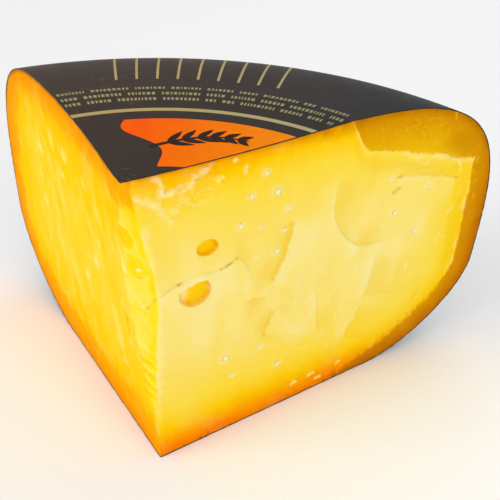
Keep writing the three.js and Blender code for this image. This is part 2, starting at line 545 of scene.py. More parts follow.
@dataclass(frozen=True)
class Outline:
    """The wedge's outline as it runs round a cut, from the front corner's foot out, up and back in."""

    wedge: Wedge
    floor_steps: int
    side_steps: int
    top_steps: int
    stretch: float = 0.0

    def shares(self, steps: int) -> Array:
        """Shares from 0 to 1 whose steps grow evenly, by `stretch`, from the corner outwards."""
        even = np.linspace(0.0, 1.0, steps + 1)
        return (1.0 - self.stretch) * even + self.stretch * even**2

    def corner_radius(self, at_top: bool, inset: float, proud: float) -> float:
        """Distance from the wheel's axis to the foot or the top of the front corner."""
        wheel = self.wedge.wheel
        radius = 32.0  # a first guess, which the rounds below put right
        for _ in range(8):
            height = np.array(wheel.top_height(np.array(radius)) - inset if at_top else inset)
            start = self.wedge.front(height, proud)[Side.RIGHT]
            out = self.wedge.cuts[Side.RIGHT].swell(start, height) + proud
            point = self.wedge.place(Side.RIGHT, start, height, out)
            radius = float(np.hypot(point[0], point[1]))
        return radius

    def rows(self, inset: float, proud: float) -> Array:
        """Radius and height of each row of the outline, let in by `inset` from the wheel's surface."""
        wheel = self.wedge.wheel
        foot = self.corner_radius(False, inset, proud)
        head = self.corner_radius(True, inset, proud)
        floor = np.vstack([[[foot, 0.0], [wheel.flat_radius, 0.0]], wheel.lower_arc(0, 45)[1:]])
        wall = np.vstack([wheel.lower_arc(45, 90), wheel.upper_arc(0, 45)[1:]])
        roof = np.vstack([wheel.dish(head, wheel.shoulder_radius), wheel.upper_arc(90, 45)[1:]])
        path = np.vstack(
            [
                spread_along(floor, self.shares(self.floor_steps)),
                spread_along(wall, np.linspace(0, 1, self.side_steps + 1))[1:],
                spread_along(roof, self.shares(self.top_steps))[::-1][1:],
            ]
        )
        ways = headings(path)
        return path - inset * np.stack([ways[:, 1], -ways[:, 0]], axis=1)

    def rims(self, rows: Array, proud: Array) -> dict[Side, tuple[Array, Array]]:
        """For each cut, the distance along it and the point of each row of the outline."""
        found = {}
        first_last = [0, -1]
        front = self.wedge.front(rows[first_last, 1], np.broadcast_to(proud, len(rows))[first_last])
        for side in Side:
            along = self.wedge.rim(side, rows[:, 0], rows[:, 1], proud)
            along[first_last] = front[side]
            out = self.wedge.cuts[side].swell(along, rows[:, 1]) + proud
            found[side] = (along, self.wedge.place(side, along, rows[:, 1], out))
        return found

    @staticmethod
    def between(rims: dict[Side, tuple[Array, Array]], columns: int) -> Array:
        """The grid of points round the wheel from the right cut's rim to the left one's.

        Each row is an arc round the axis: its radius, height and turn change evenly between the rims.
        """
        ends = []
        for side in (Side.RIGHT, Side.LEFT):
            points = rims[side][1]
            turn = np.arctan2(points[:, 1], points[:, 0])
            ends.append(np.stack([np.hypot(points[:, 0], points[:, 1]), turn, points[:, 2]], axis=1))
        share = np.linspace(0.0, 1.0, columns + 1)[None, :, None]
        polar = ends[0][:, None] * (1.0 - share) + ends[1][:, None] * share
        flat = [polar[..., 0] * np.cos(polar[..., 1]), polar[..., 0] * np.sin(polar[..., 1])]
        grid = np.stack([*flat, polar[..., 2]], axis=-1)
        grid[:, 0] = rims[Side.RIGHT][1]
        grid[:, -1] = rims[Side.LEFT][1]
        return grid


# ---------------------------------------------------------------- what tearing has done to the cuts


NUMBERS = ("pale", "shade", "seam", "seam_strength", "eye", "band", "golden", "crumb")


@dataclass
class Surface:
    """One cut's grid: where each point lies and the numbers that its relief and colours come from."""

    side: Side
    along: Array
    height: Array
    out: Array
    depth: Array  # millimetres inwards from the rind
    numbers: dict[str, Array]

    def add(self, name: str, amount: Array) -> None:
        """Adds to one of the named numbers."""
        self.numbers[name] = self.numbers[name] + amount

    def mark(self, name: str, amount: Array) -> None:
        """Raises one of the named numbers to at least this amount."""
        self.numbers[name] = np.maximum(self.numbers[name], amount)

    def snap(self, foot: Array, near: Array) -> None:
        """Moves the grid's points where `near` says so onto their nearest points of a line."""
        self.along = np.where(near, foot[..., 0], self.along)
        self.height = np.where(near, foot[..., 1], self.height)

    def turned(self, along: float, height: float, degrees: float) -> tuple[Array, Array]:
        """Each place's two coordinates from a middle, along a turned way and across it."""
        turn = math.radians(degrees)
        aside, up = self.along - along, self.height - height
        return aside * math.cos(turn) + up * math.sin(turn), up * math.cos(turn) - aside * math.sin(turn)

    def noise(self, spacing: float, seed: int) -> Array:
        """Rough noise over the cut."""
        return rough_noise(self.along, self.height, spacing, seed)


CUT_OFF = 4.0  # a line's effect on a cut is dropped beyond this many reaches


@dataclass(frozen=True)
class Tear:
    """A line along which the paste has torn into two levels.

    `left` and `right` say how far the paste stands out beside the line's left and right hand, and how
    far that reaches; the pale numbers lighten (or, below 0, deepen) the yellow there, which paints a
    highlight on the higher side's crest and shade on the sunk side. `crack` draws a thin golden brown
    seam along it.
    """

    line: tuple[Point, ...]
    left: float = 0.0
    right: float = 0.0
    left_reach: float = 8.0
    right_reach: float = 8.0
    left_pale: float = 0.0
    right_pale: float = 0.0
    crack: float = 0.0
    ragged: float = 0.3
    taper: float = 5.0

    PATH_STEP = 0.6  # distance between the points of the wandering line
    SNAP = 0.33  # grid points nearer to the line than this are moved onto it
    STILL = 1.2  # but none within this of the rind, or within half of it of the front corner
    SEAM_REACH = 1.5  # how far the seam reaches aside, and over which its ends fade

    @property
    def seed(self) -> int:
        """A seed from the line's start, so that each tear wanders in its own way."""
        return int(500 + 7 * self.line[0][0] + 3 * self.line[0][1])

    def path(self) -> Array:
        """The line with its corners rounded, moved sideways a little at random."""
        line = rounded(self.line)
        length = np.hypot(*np.diff(line, axis=0).T).sum()
        shares = np.linspace(0.0, 1.0, int(length / self.PATH_STEP) + 2)
        line = spread_along(line, shares)
        way = headings(line)
        sway = self.ragged * rough_noise(shares * length, shares * 0.0, 4.0, self.seed, layers=2)
        return line + sway[:, None] * np.stack([-way[:, 1], way[:, 0]], axis=1)

    def snap(self, surface: Surface) -> None:
        """Moves the grid's points that lie next to the line onto it, so that its crest is clean."""
        near = beside(surface.along, surface.height, self.path(), 2.0)
        inner = (surface.depth > self.STILL) & (surface.along - surface.along[0] > 0.5 * self.STILL)
        surface.snap(near.foot, (np.abs(near.signed) < self.SNAP) & (near.from_end > 0.3) & inner)

    def apply(self, surface: Surface) -> None:
        """Adds the step, its pale and deep sides, which are painted highlight and painted shade, and the
        seam to a cut's surface.
        """
        reach = CUT_OFF * max(self.left_reach, self.right_reach)
        near = beside(surface.along, surface.height, self.path(), reach)
        ends = smooth(near.from_end / self.taper)
        brink = -1e-6 if self.left > self.right else 1e-6  # the line itself belongs to the higher side
        on_left = near.signed > brink
        far = np.abs(near.signed)
        near_left = np.where(on_left, np.exp(-far / self.left_reach), 0.0) * ends
        near_right = np.where(on_left, 0.0, np.exp(-far / self.right_reach)) * ends
        surface.out += self.left * near_left + self.right * near_right
        # painted highlight on the higher side's crest, painted shade on the sunk side
        surface.add("pale", self.left_pale * near_left + self.right_pale * near_right)
        comes_and_goes = rough_noise(near.run, near.run * 0.0, 5.0, self.seed + 50)
        dashes = 0.15 + 0.85 * smooth(0.5 + 2.0 * comes_and_goes)
        seam_ends = smooth(near.from_end / self.SEAM_REACH)
        strength = self.crack * bell(near.signed, self.SEAM_REACH) * seam_ends * dashes
        stronger = strength > surface.numbers["seam_strength"]
        for name, fresh in (("seam", near.signed), ("seam_strength", strength)):
            surface.numbers[name] = np.where(stronger, fresh, surface.numbers[name])


@dataclass(frozen=True)
class Ridge:
    """A raised streak of torn paste along a line, paler than the cut round it.

    A crisp streak is marked as crumbs, which the paste's finish draws with a broken edge.
    """

    line: tuple[Point, ...]
    half_width: float
    pale: float = 0.0
    rise: float = 0.4
    soft: float = 0.35
    crisp: bool = False

    def apply(self, surface: Surface, seed: int) -> None:
        """Adds the streak: flat on top, with an uneven edge."""
        reach = CUT_OFF * (self.half_width + self.soft)
        near = beside(surface.along, surface.height, rounded(self.line), reach)
        edge = self.half_width * (0.9 + 0.75 * surface.noise(2.6, seed))
        inside = smooth(0.5 + 0.5 * (edge - np.abs(near.signed)) / self.soft)
        if self.crisp:
            surface.mark("crumb", np.clip(1.0 - 0.5 * np.abs(near.signed) / self.half_width, 0.0, 1.0))
        else:
            surface.add("pale", self.pale * inside * (1.0 + 0.4 * surface.noise(1.8, seed + 9)))
        surface.out += 0.7 * self.rise * inside * (1.0 + 0.6 * surface.noise(1.6, seed + 5))


@dataclass(frozen=True)
class Blotch:
    """A soft patch of paler or deeper yellow, longer one way than the other, a little raised or sunk."""

    along: float
    height: float
    half_long: float
    half_wide: float
    turn_degrees: float
    pale: float
    rise: float = 0.0
    shade: float = 0.0
    power: float = 1.5

    def patch(self, surface: Surface, seed: int) -> Array:
        """A bell in its own turned and stretched coordinates, with a wandering edge."""
        long, wide = surface.turned(self.along, self.height, self.turn_degrees)
        long, wide = long / self.half_long, wide / self.half_wide
        edge = 1.0 + 0.3 * surface.noise(2.0, seed)
        return np.exp(-((long**2 + wide**2) ** self.power) * edge)

    def apply(self, surface: Surface, seed: int) -> None:
        """Adds the patch to the cut's colour and relief."""
        patch = self.patch(surface, seed)
        surface.add("pale", self.pale * patch)
        surface.add("shade", self.shade * patch)
        surface.out += self.rise * patch


def strewn_crumbs(zone: Zone, turn_degrees: float, spread: float = 40.0) -> list[Ridge]:
    """Short crisp crumbs 0.8 to 3.2 mm long over a zone, each turned at random about one way."""
    places, rng = zone.draw()
    crumbs = []
    for along, height in places:
        turn = math.radians(turn_degrees + rng.uniform(-spread, spread))
        half = rng.uniform(0.4, 1.6)
        step = (half * math.cos(turn), half * math.sin(turn))
        line = bowed((along - step[0], height - step[1]), (along + step[0], height + step[1]), 0.3 * half)
        crumbs.append(Ridge(line, rng.uniform(0.4, 0.8), crisp=True))
    return crumbs


def strewn_blotches(
    zone: Zone, long: Point, wide: Point, turn_degrees: float, pale: Point, rise: float
) -> list[Blotch]:
    """Soft patches over a zone.

    Args:
        zone: Where they lie.
        long: Least and greatest half length.
        wide: Least and greatest half width.
        turn_degrees: The way they lie, which each leaves by up to 15 degrees.
        pale: Least and greatest paleness.
        rise: How far each stands out.

    Returns:
        The patches.
    """
    places, rng = zone.draw()
    return [
        Blotch(
            along, height, rng.uniform(*long), rng.uniform(*wide), turn_degrees + rng.uniform(-15.0, 15.0),
            rng.uniform(*pale), rise,
        )
        for along, height in places
    ]


def strewn_shadow_strokes(zone: Zone) -> list[Tear]:
    """Short brown strokes 2 to 4 mm long over a zone, drawn as sunk cracks: painted small shadows among the
    crumbs.
    """
    places, rng = zone.draw()
    pits = []
    for along, height in places:
        end = (along + rng.uniform(2.0, 4.0), height + rng.uniform(-1.5, 1.5))
        pits.append(Tear(bowed((along, height), end, 0.4), -0.4, 0.0, 1.5, 1.5, crack=0.35, taper=0.5))
    return pits


@dataclass(frozen=True)
class Web:
    """A patch of fine branching crumbs: pale where a rough noise passes through zero."""

    along: float
    height: float
    half_along: float
    half_up: float
    pale: float
    rise: float = 0.25
    spacing: float = 5.0
    line: float = 0.14
    crisp: bool = False

    def apply(self, surface: Surface, seed: int) -> None:
        """Adds the web inside a round-edged patch, softly or as crumbs."""
        far = np.hypot(
            (surface.along - self.along) / self.half_along, (surface.height - self.height) / self.half_up
        )
        patch = smooth(2.0 - 1.6 * far)
        off = np.abs(surface.noise(self.spacing, seed)) / self.line
        web = smooth(1.5 - off)
        if self.crisp:
            surface.mark("crumb", patch * np.clip(1.0 - 0.5 * off, 0.0, 1.0))
        else:
            surface.add("pale", self.pale * patch * web)
        surface.out += self.rise * patch * web


@dataclass(frozen=True)
class Hollow:
    """A round hollow that the cut has opened: an eye of the cheese, or a small pit."""

    along: float
    height: float
    half_along: float
    half_deep: float
    half_up: float
    turn_degrees: float
    coloured: bool = False  # whether it has an eye's own deeper colour
    lid: Tear | None = None  # the edge of the paste that hangs over the hollow
    flake: Blotch | None = None  # a paler flake left inside

    EDGE = 0.02  # the hollow starts this far inside its rim
    LID_EDGE = 0.05  # and this far under its lid's line
    SNAP = 0.34  # grid points nearer to the rim than this are moved onto it
    SHEER = 0.15  # the share of its depth that drops at the rim itself

    def polar(self, surface: Surface) -> tuple[Array, Array]:
        """Each place in the hollow's own turned coordinates: radius, 1 at its rim, and angle."""
        long, wide = surface.turned(self.along, self.height, self.turn_degrees)
        long, wide = long / self.half_along, wide / self.half_up
        return np.hypot(long, wide), np.arctan2(wide, long)

    def snap(self, surface: Surface) -> None:
        """Moves the grid's points that lie next to the rim onto it, so that the rim is a clean edge."""
        radius, angle = self.polar(surface)
        near = np.abs(radius - 1.0) * math.sqrt(self.half_along * self.half_up) < self.SNAP
        turn = math.radians(self.turn_degrees)
        long, wide = self.half_along * np.cos(angle), self.half_up * np.sin(angle)
        along = self.along + long * math.cos(turn) - wide * math.sin(turn)
        height = self.height + long * math.sin(turn) + wide * math.cos(turn)
        surface.snap(np.stack([along, height], axis=-1), near)

    def apply(self, surface: Surface) -> None:
        """Pushes the places inside the rim, and under the lid, in to the ellipsoid's far side."""
        radius, angle = self.polar(surface)
        inwards = math.sqrt(self.half_along * self.half_up) * (1.0 - radius)
        inside = np.where(inwards > self.EDGE, 1.0, 0.0)
        if self.lid:
            lid = beside(surface.along, surface.height, self.lid.path(), 30.0)
            inside[lid.signed > -self.LID_EDGE] = 0.0
        round_part = np.sqrt(np.clip(1.0 - radius**2, 0.0, 1.0))
        surface.out -= inside * self.half_deep * (self.SHEER + round_part)
        for name in ("pale", "shade", "seam_strength", "crumb"):
            surface.numbers[name] = surface.numbers[name] * (1.0 - inside)
        if self.flake:
            patch = inside * self.flake.patch(surface, 77)
            surface.add("pale", self.flake.pale * patch)
            surface.out += self.flake.rise * patch
        if self.coloured:
            surface.add("eye", inside * inwards)
            # painted shade: the eye's upper left wall is browned as if it lay in shade
            shaded_upper_left = 0.5 - 0.5 * np.cos(angle + math.radians(50.0))
            surface.add("shade", 0.3 * inside * shaded_upper_left * bell(inwards, 1.2))


@dataclass(frozen=True)
class Flake:
    """A lens-shaped flake gone from the front corner: its middle, half sizes, depth, turn and tone."""

    aside: float
    height: float
    half_aside: float
    half_up: float
    deep: float
    turn_degrees: float
    pale: float

    def apply(self, corner: Surface, part: Array) -> None:
        """Adds the flake's hollow: depth times one less the squared radius, with a soft pale lip.

        Args:
            corner: The cut in the corner's coordinates, aside in place of along.
            part: How much of the flake each place may have.
        """
        wide, tall = corner.turned(self.aside, self.height, self.turn_degrees)
        wide, tall = wide / self.half_aside, tall / self.half_up
        radius = np.hypot(wide, tall) * (1.0 + 0.12 * corner.noise(4.0, 47))
        corner.out -= self.deep * np.clip(1.0 - radius**2, 0.0, 1.0) * part
        corner.add("pale", self.pale * smooth(4.0 * (1.0 - radius)) * part)
        from_lip = np.abs(radius - 1.0) * min(self.half_aside, self.half_up)
        corner.add("pale", 0.3 * part * bell(from_lip, 0.9))


@dataclass(frozen=True)
class Bevel:
    """The crumbled front corner: paste gone to a depth that swells and fades with the height."""

    deepest: float = 5.8
    deepest_height: float = 74.0
    reach_down: float = 34.0
    reach_up: float = 25.0
    left_share: float = 0.3
    hollow_radius: float = 44.0
    flakes: tuple[Flake, ...] = (
        Flake(-9, 94, 5, 5, 1.3, 20, -0.55),
        Flake(-7, 82, 6, 5, 0.6, 15, -0.1),
        Flake(-8, 70, 6, 6, 1.0, 20, 0.4),
        Flake(-6, 56, 4, 7, 1.0, 5, 0.4),
        Flake(-17, 53, 2, 7, 1.0, 15, -0.8),
    )
    cracks: tuple[Tear, ...] = (
        # a shallow arc, and the V that opens into the split over the large eye
        Tear(bowed((-9, 76), (-4, 78), 0.5), 0.0, -0.3, 3, 3, crack=0.35, ragged=0.2, taper=1),
        Tear(bowed((-13, 68), (-5, 64)), 0.4, -0.2, 4, 3, 0.2, crack=0.35, taper=1),
        Tear(bowed((-5, 64), (1, 73)), 0.4, -0.2, 4, 3, 0.2, crack=0.5, taper=1),
    )
    crumb_zone: Zone = Zone(-5, 75, 5, 36, 3, 21, 6.0)
    notch_spacing: float = 4.3
    notch_height: float = 38.0
    notch_depth: float = 0.5

    def bite(self, height: Array) -> Array:
        """How deep the corner is gone at each height: a bell with a longer reach down than up."""
        above = height - self.deepest_height
        return self.deepest * bell(above, np.where(above > 0.0, self.reach_up, self.reach_down))

    def frame(self, wedge: Wedge, points: Array) -> tuple[Array, Array, Array]:
        """For points of the paste: the way inwards, and how far each lies inwards and aside."""
        height = points[..., 2]
        left, _ = wedge.directions(Side.LEFT, height)
        right, _ = wedge.directions(Side.RIGHT, height)
        inwards = right + self.left_share * left
        inwards = inwards / np.linalg.norm(inwards, axis=-1, keepdims=True)
        offset = points[..., :2] - wedge.corner(height)
        aside = offset[..., 0] * inwards[..., 1] - offset[..., 1] * inwards[..., 0]
        return inwards, (offset * inwards).sum(axis=-1), aside

    def notches(self, corner: Surface) -> None:
        """Adds the short, nearly level notches that the knife left low on the corner's left side."""
        slant = corner.height + 0.12 * corner.along + 0.8 * corner.noise(5.0, 61)
        wave = np.sin(2.0 * math.pi * slant / self.notch_spacing)
        window = bell(corner.height - self.notch_height, 11.0) * bell(corner.along + 4.0, 4.0)
        corner.out += self.notch_depth * wave * window
        corner.add("pale", (0.6 * wave - 0.15) * window)

    @staticmethod
    def tone(surface: Surface, margin: Array) -> None:
        """Gives the bevel its own yellow, and its edge a pale lip that is a painted highlight along the
        edge, both fading towards the rind.

        Args:
            surface: The cut whose colours change.
            margin: How far each place of it lay outside the bevel.
        """
        golden = smooth(margin / 0.7) * smooth((surface.depth - 6.0) / 14.0)
        surface.add("golden", golden)
        surface.numbers["pale"] = surface.numbers["pale"] * (1.0 - 0.3 * golden)
        # painted highlight along the bevel's edge
        lip = bell(margin - 0.15, 0.55 + 0.3 * surface.noise(4.0, 41)) * smooth((surface.depth - 4.0) / 10.0)
        surface.add("pale", 0.35 * lip + 0.2 * golden * surface.noise(4.0, 45))

    def apply(self, wedge: Wedge, surface: Surface, points: Array) -> Array:
        """Pushes the paste's points back to the bevel and breaks flakes out of it.

        Args:
            wedge: The wedge whose front corner it is.
            surface: One cut, whose colours change too.
            points: The cut's points in the wheel's frame.

        Returns:
            The moved points.
        """
        inwards, inner, aside = self.frame(wedge, points)
        height = points[..., 2]
        bite = self.bite(height)
        uneven = 0.35 * rough_noise(aside, height, 6.0, 91) + 0.12 * rough_noise(aside, height, 2.0, 92)
        level = bite - aside**2 / (2.0 * self.hollow_radius) + uneven * smooth(bite / 2.0)
        margin = level - inner
        corner = Surface(surface.side, aside, height, np.zeros_like(aside), surface.depth, surface.numbers)
        self.tone(surface, margin)
        part = np.maximum(smooth((margin + 0.8) / 1.6), smooth((-aside - 8.0) / 3.0))
        for flake in self.flakes:
            flake.apply(corner, part)
        for crack in self.cracks:
            crack.apply(corner)
        for seed, crumb in enumerate(strewn_crumbs(self.crumb_zone, 10.0)):
            crumb.apply(corner, 1700 + seed)
        self.notches(corner)
        moved = points.copy()
        moved[..., :2] += (np.maximum(margin, 0.0) - corner.out)[..., None] * inwards
        return moved


@dataclass(frozen=True)
class Rims:
    """The darker rims of the two cuts, in millimetres."""

    line_along: float = 93.0  # the right rim's lower edge under the top: a place on it, and its slope
    line_height: float = 111.0
    line_slope: float = -0.3
    line_ramp: Point = (84.0, 10.0)  # left of here that edge lies higher; it comes down over this run
    line_rise: float = 14.0
    upright: float = 151.0  # the right rim's inner edge down the side
    foot: float = 12.0  # its depth over the bottom where it is whole
    foot_ramp: Point = (60.0, 80.0)
    foot_end: Point = (38.0, 15.0)  # the height at which the foot ends, and over which it fades
    foot_drop: float = 40.0
    right_wander: float = 0.8
    left_width: float = 15.0
    left_top_width: float = 8.0  # its width under the top, which grows below the shoulder
    left_ramp: Point = (115.0, -30.0)
    left_wander: float = 4.0
    soft: float = 0.6  # the softness of the right rim's edge, and what is added near the bottom
    soft_low: float = 2.5
    soft_ramp: Point = (40.0, -30.0)
    soft_left: float = 2.0  # what is added on the left cut

    def beyond(self, surface: Surface) -> Array:
        """Distance beyond the inner edge, positive in the rim.

        The right rim is all that lies above a slanting line, beyond an upright one, or within a foot
        that widens outwards; the left one has one width, and a smaller one under the top.
        """
        along, height = surface.along, surface.height
        if surface.side is Side.LEFT:
            wider = (self.left_width - self.left_top_width) * ramp(height, *self.left_ramp)
            width = self.left_top_width + wider
            return width - surface.depth + self.left_wander * surface.noise(11.0, 71)
        line = self.line_height + self.line_slope * (along - self.line_along)
        line = line + self.line_rise * (1.0 - ramp(along, *self.line_ramp))
        foot = (self.foot + 1.0) * ramp(along, *self.foot_ramp) - 1.0 - surface.depth
        foot = foot - self.foot_drop * ramp(height, *self.foot_end)
        furthest = np.maximum(np.maximum(height - line, along - self.upright), foot)
        return furthest + self.right_wander * surface.noise(6.0, 72)

    def apply(self, surface: Surface) -> None:
        """Marks the rim in units of its edge's softness, and adds the right one's brink."""
        right = surface.side is Side.RIGHT
        beyond = self.beyond(surface)
        low = self.soft_low * ramp(surface.height, *self.soft_ramp)
        softness = self.soft + low + (0.0 if right else self.soft_left)
        surface.add("band", np.clip(beyond / softness, -4.0, 4.0))
        if right:
            self.brink(surface, beyond)

    @staticmethod
    def brink(surface: Surface, beyond: Array) -> None:
        """Adds a pale brink, a deeper yellow strip inside it, and the slope that rises to the rim."""
        crisp = smooth((surface.height - 30.0) / 15.0)
        brink = np.clip(0.35 + 0.4 * surface.noise(5.0, 73), 0.0, 0.6) * bell(beyond + 1.2, 1.4)
        surface.add("pale", crisp * (brink - 0.5 * bell(beyond + 6.0, 3.5)))
        surface.out += 0.2 * crisp * np.where(beyond < 0.0, np.exp(beyond / 5.0), 0.0)


@dataclass(frozen=True)
class BrownEdge:
    """The browned paste right under the coat of the top, furthest down before the amber rim starts, and a
    thin painted shadow line right under the coat's edge.
    """

    reach: float = 2.2  # how far down it reaches, and how much further before the amber rim
    further: float = 5.5
    further_ramp: Point = (42.0, 45.0)
    rim_less: float = 4.0  # how much less far it reaches in the amber rim
    rim_ramp: Point = (84.0, 14.0)
    strength: float = 0.25
    right_more: float = 0.3
    left_more: float = 0.55  # how much stronger it gets on the left cut, away from the corner
    left_ramp: Point = (4.0, 20.0)
    # the painted shadow of the coat's edge: how strong it is, and how far down it reaches
    shadow_line_strength: float = 0.4  # a thin brown line right under the coat
    shadow_line_reach: float = 0.8
    climb: Point = (85.0, 20.0)  # the height at which it starts, and how much higher it is whole

    def apply(self, surface: Surface) -> None:
        """Adds the brown, and the painted shadow line under the coat's edge, to a cut's shade number."""
        if surface.side is Side.RIGHT:
            further = ramp(surface.along, *self.further_ramp)
            reach = self.reach + self.further * further - self.rim_less * ramp(surface.along, *self.rim_ramp)
            strength = self.strength + self.right_more * further
        else:
            reach = self.reach
            strength = self.strength + self.left_more * ramp(surface.along, *self.left_ramp)
        edge = strength * (1.0 - smooth(surface.depth / reach)) * (1.0 + 0.4 * surface.noise(3.0, 51))
        # painted shadow under the coat's edge
        line = self.shadow_line_strength * (1.0 - smooth(surface.depth / self.shadow_line_reach))
        high = ramp(surface.height, *self.climb)
        surface.add("shade", high * (edge + line))


# The edge of the paste that hangs over the large eye.
LID = Tear(bowed((14, 72), (26, 74), 1), 0.25, 0.0, 2, 2, 0.3, 0.0, ragged=0.3, taper=1)

# A tear's numbers are its rise on the left and right hand, their reaches, and how pale each side is; the
# paler higher side is a painted highlight and the deeper lower side painted shade.
RIGHT_TEARS = (
    # the low arch that has split over the large eye, down its steep right end, and its two open stretches
    Tear(
        chained((5, 72), ((16, 76), 0.5), ((30, 76), 0.0), ((39, 79), 0.0), ((42, 62), 2.5)),
        -0.2, 0.4, 5, 17, 0.0, 0.4, ragged=0.2, taper=3,
    ),
    Tear(bowed((5, 72), (16, 76), 0.5), crack=0.65, ragged=0.2, taper=1),
    Tear(bowed((30, 76), (39, 79)), crack=0.65, ragged=0.2, taper=1),
    LID,
    # the long curved step in the middle of the cut, which turns to the right at its foot
    Tear(
        chained((84, 102), ((93, 67), -7.0), ((111, 65), -1.0)),
        -0.6, 0.2, 15, 5, -0.35, 0.5, ragged=0.2, taper=9,
    ),
    # the steps below it, one after the other
    Tear(bowed((104, 60), (98, 38)), -0.5, 0.3, 16, 3, -0.55, 0.6, ragged=0.4, taper=3),
    Tear(bowed((98, 37), (89, 21)), -0.45, 0.4, 12, 2, -0.4, 0.6, ragged=0.9, taper=3),
    # a short seam that runs across, and the crack in the small pit
    Tear(bowed((40, 59), (52, 58), 0.5), 0.3, -0.3, 4, 6, 0.4, -0.2, ragged=0.4, taper=2),
    Tear(bowed((109, 86), (114, 89), 0.5), 0.2, 0.2, 2, 2, crack=0.7, taper=1),
    # the steps that lead down and to the left from the middle
    Tear(bowed((63, 89), (52, 62), 2), 0.4, -0.3, 14, 4.5, 0.5, -1.1, crack=0.1, taper=3),
    Tear(bowed((56, 50), (49, 38), -1), 0.45, -0.3, 12, 4, 0.5, -0.3, crack=0.3, taper=3),
    Tear(bowed((74, 54), (75, 29)), -0.6, 0.35, 13, 3.5, -0.25, 0.35, taper=6),
    # the dark ledge under the amber rim, and the round flake at its end
    Tear(bowed((110, 94), (144, 86), 1), -0.3, 0.3, 3, 7, -0.25, 0.35, crack=0.5, ragged=0.4, taper=3),
    Tear(bowed((133, 97), (144, 87), 4), 0.3, -0.25, 1.5, 3.5, 0.8, -0.2, taper=3),
    # painted small shadows among the crumbs under the top, drawn as short cracks
    *strewn_shadow_strokes(Zone(20, 114, 12, 4, 4, 31, 5.0)),
)

# A ridge's numbers are its half width, how pale it is, its rise and its edge's softness.
RIGHT_RIDGES = (
    # three strands of the net of crumbs by the front corner, under the top
    Ridge(bowed((9, 119), (8, 109), 2.5), 1.0, 0.6, 0.5, 0.6),
    Ridge(bowed((11, 112), (30, 119), -2.5), 1.2, 0.6, 0.6, 0.6),
    Ridge(bowed((1, 113), (13, 101), 1.5), 1.4, 0.55, 0.5, 0.7),
    # the pale edge along the front corner, a painted highlight on the edge
    Ridge(bowed((3, 100), (0, 20), 3), 2.0, 0.42, 0.1, 1.6),
    # the thin curved lip beside the amber rim
    Ridge(bowed((146, 81), (141, 69), 1.5), 0.7, 0.5, 0.4, 0.4),
    # crumbs strewn under the top, over the rim and down its side, over the steps and on the foot
    *strewn_crumbs(Zone(26, 115, 20, 5, 4, 41), 60.0),
    *strewn_crumbs(Zone(122, 113, 32, 6, 10, 42, 4.0), 110.0),
    *strewn_crumbs(Zone(155, 85, 3, 22, 6, 43, 5.0), 80.0),
    *strewn_crumbs(Zone(95, 60, 30, 35, 7, 44, 8.0), 60.0),
    *strewn_crumbs(Zone(76, 9, 18, 5, 4, 45, 5.0), 10.0),
)

RIGHT_BLOTCHES = (
    # plates of paler paste, and deeper hollows between them
    *strewn_blotches(Zone(70, 62, 62, 34, 14, 51, 13.0), (6, 15), (3, 6), 80.0, (0.15, 0.4), 0.15),
    *strewn_blotches(Zone(85, 60, 60, 34, 9, 52, 14.0), (6, 14), (2.5, 5), 75.0, (-0.5, -0.2), -0.1),
    # the darkest place of the amber rim
    Blotch(142, 102, 9, 6, -25, 0.0, -0.2, 0.36),
)

LEFT_RIDGES = (
    # the lip of a flake that came away beside the front corner, and the broad ridge below it
    Ridge(bowed((17, 90), (13, 78)), 0.9, 0.6, 0.4, 0.7),
    Ridge(bowed((30, 50), (24, 29)), 2.2, 0.5, 0.4, 1.4),
)

LEFT_BLOTCHES = (
    # pale flecks where the paste pulled apart, and deeper hollows beside them
    *strewn_blotches(Zone(67, 76, 34, 32, 14, 61, 9.0), (2, 4), (1.4, 2.4), 78.0, (0.4, 0.95), 0.3),
    *strewn_blotches(Zone(80, 70, 40, 34, 7, 62, 13.0), (5, 12), (2.5, 4), 85.0, (0.25, 0.4), 0.2),
    *strewn_blotches(Zone(58, 74, 34, 30, 8, 63, 11.0), (3, 8), (1.4, 3), 78.0, (-0.8, -0.3), -0.3),
)

# A web's numbers are its middle, its half sizes, how pale it is, its rise, its spacing and its line.
RIGHT_WEBS = (
    Web(17, 111, 15, 9, 0.4, 0.3, 4.0, 0.12),
    Web(120, 113, 30, 6, 0.2, 0.3, 5.0),
    Web(126, 95, 18, 4, 0.3),
    Web(75, 45, 35, 25, 0.2),
    Web(132, 57, 12, 6, 0.3),
    # the uneven lump on the amber rim
    Web(113.5, 114, 4, 3, 0.0, 0.3, 3.0, 0.2, crisp=True),
)

LEFT_WEBS = (
    Web(13, 70, 12, 45, 0.3, 0.3, 7.0),
    Web(70, 80, 40, 28, 0.2, 0.2, 9.0),
)

# The two eyes, the pit and the dent, which the CAD solid has too: each hollow's middle, its half sizes
# along, deep and up, and its turn.
EYES = (
    Hollow(26.5, 87, 4.5, 3.0, 3.3, 4, coloured=True),
    Hollow(20.5, 70, 6.5, 3.8, 5.8, 8, coloured=True, lid=LID, flake=Blotch(17, 69, 3, 2, 60, 0.9, 0.8)),
    Hollow(111, 88, 2.6, 1.2, 1.0, 30),
    Hollow(130, 30, 2.0, 0.9, 3.6, -18),
)

CRYSTAL_ZONES = (
    Zone(50, 91, 11, 22, 9, 11, 8.0),
    Zone(38, 30, 24, 14, 5, 12, 10.0),
    Zone(112, 78, 18, 18, 4, 13, 9.0),
)


def crystal_places() -> list[tuple[Side, float, float, float]]:
    """Side, distance along, height and half width of each crystal, all on the right cut."""
    found = []
    for zone in CRYSTAL_ZONES:
        places, rng = zone.draw()
        found += [(Side.RIGHT, along, height, rng.uniform(0.8, 1.4)) for along, height in places]
    return found


# ---------------------------------------------------------------- the paste


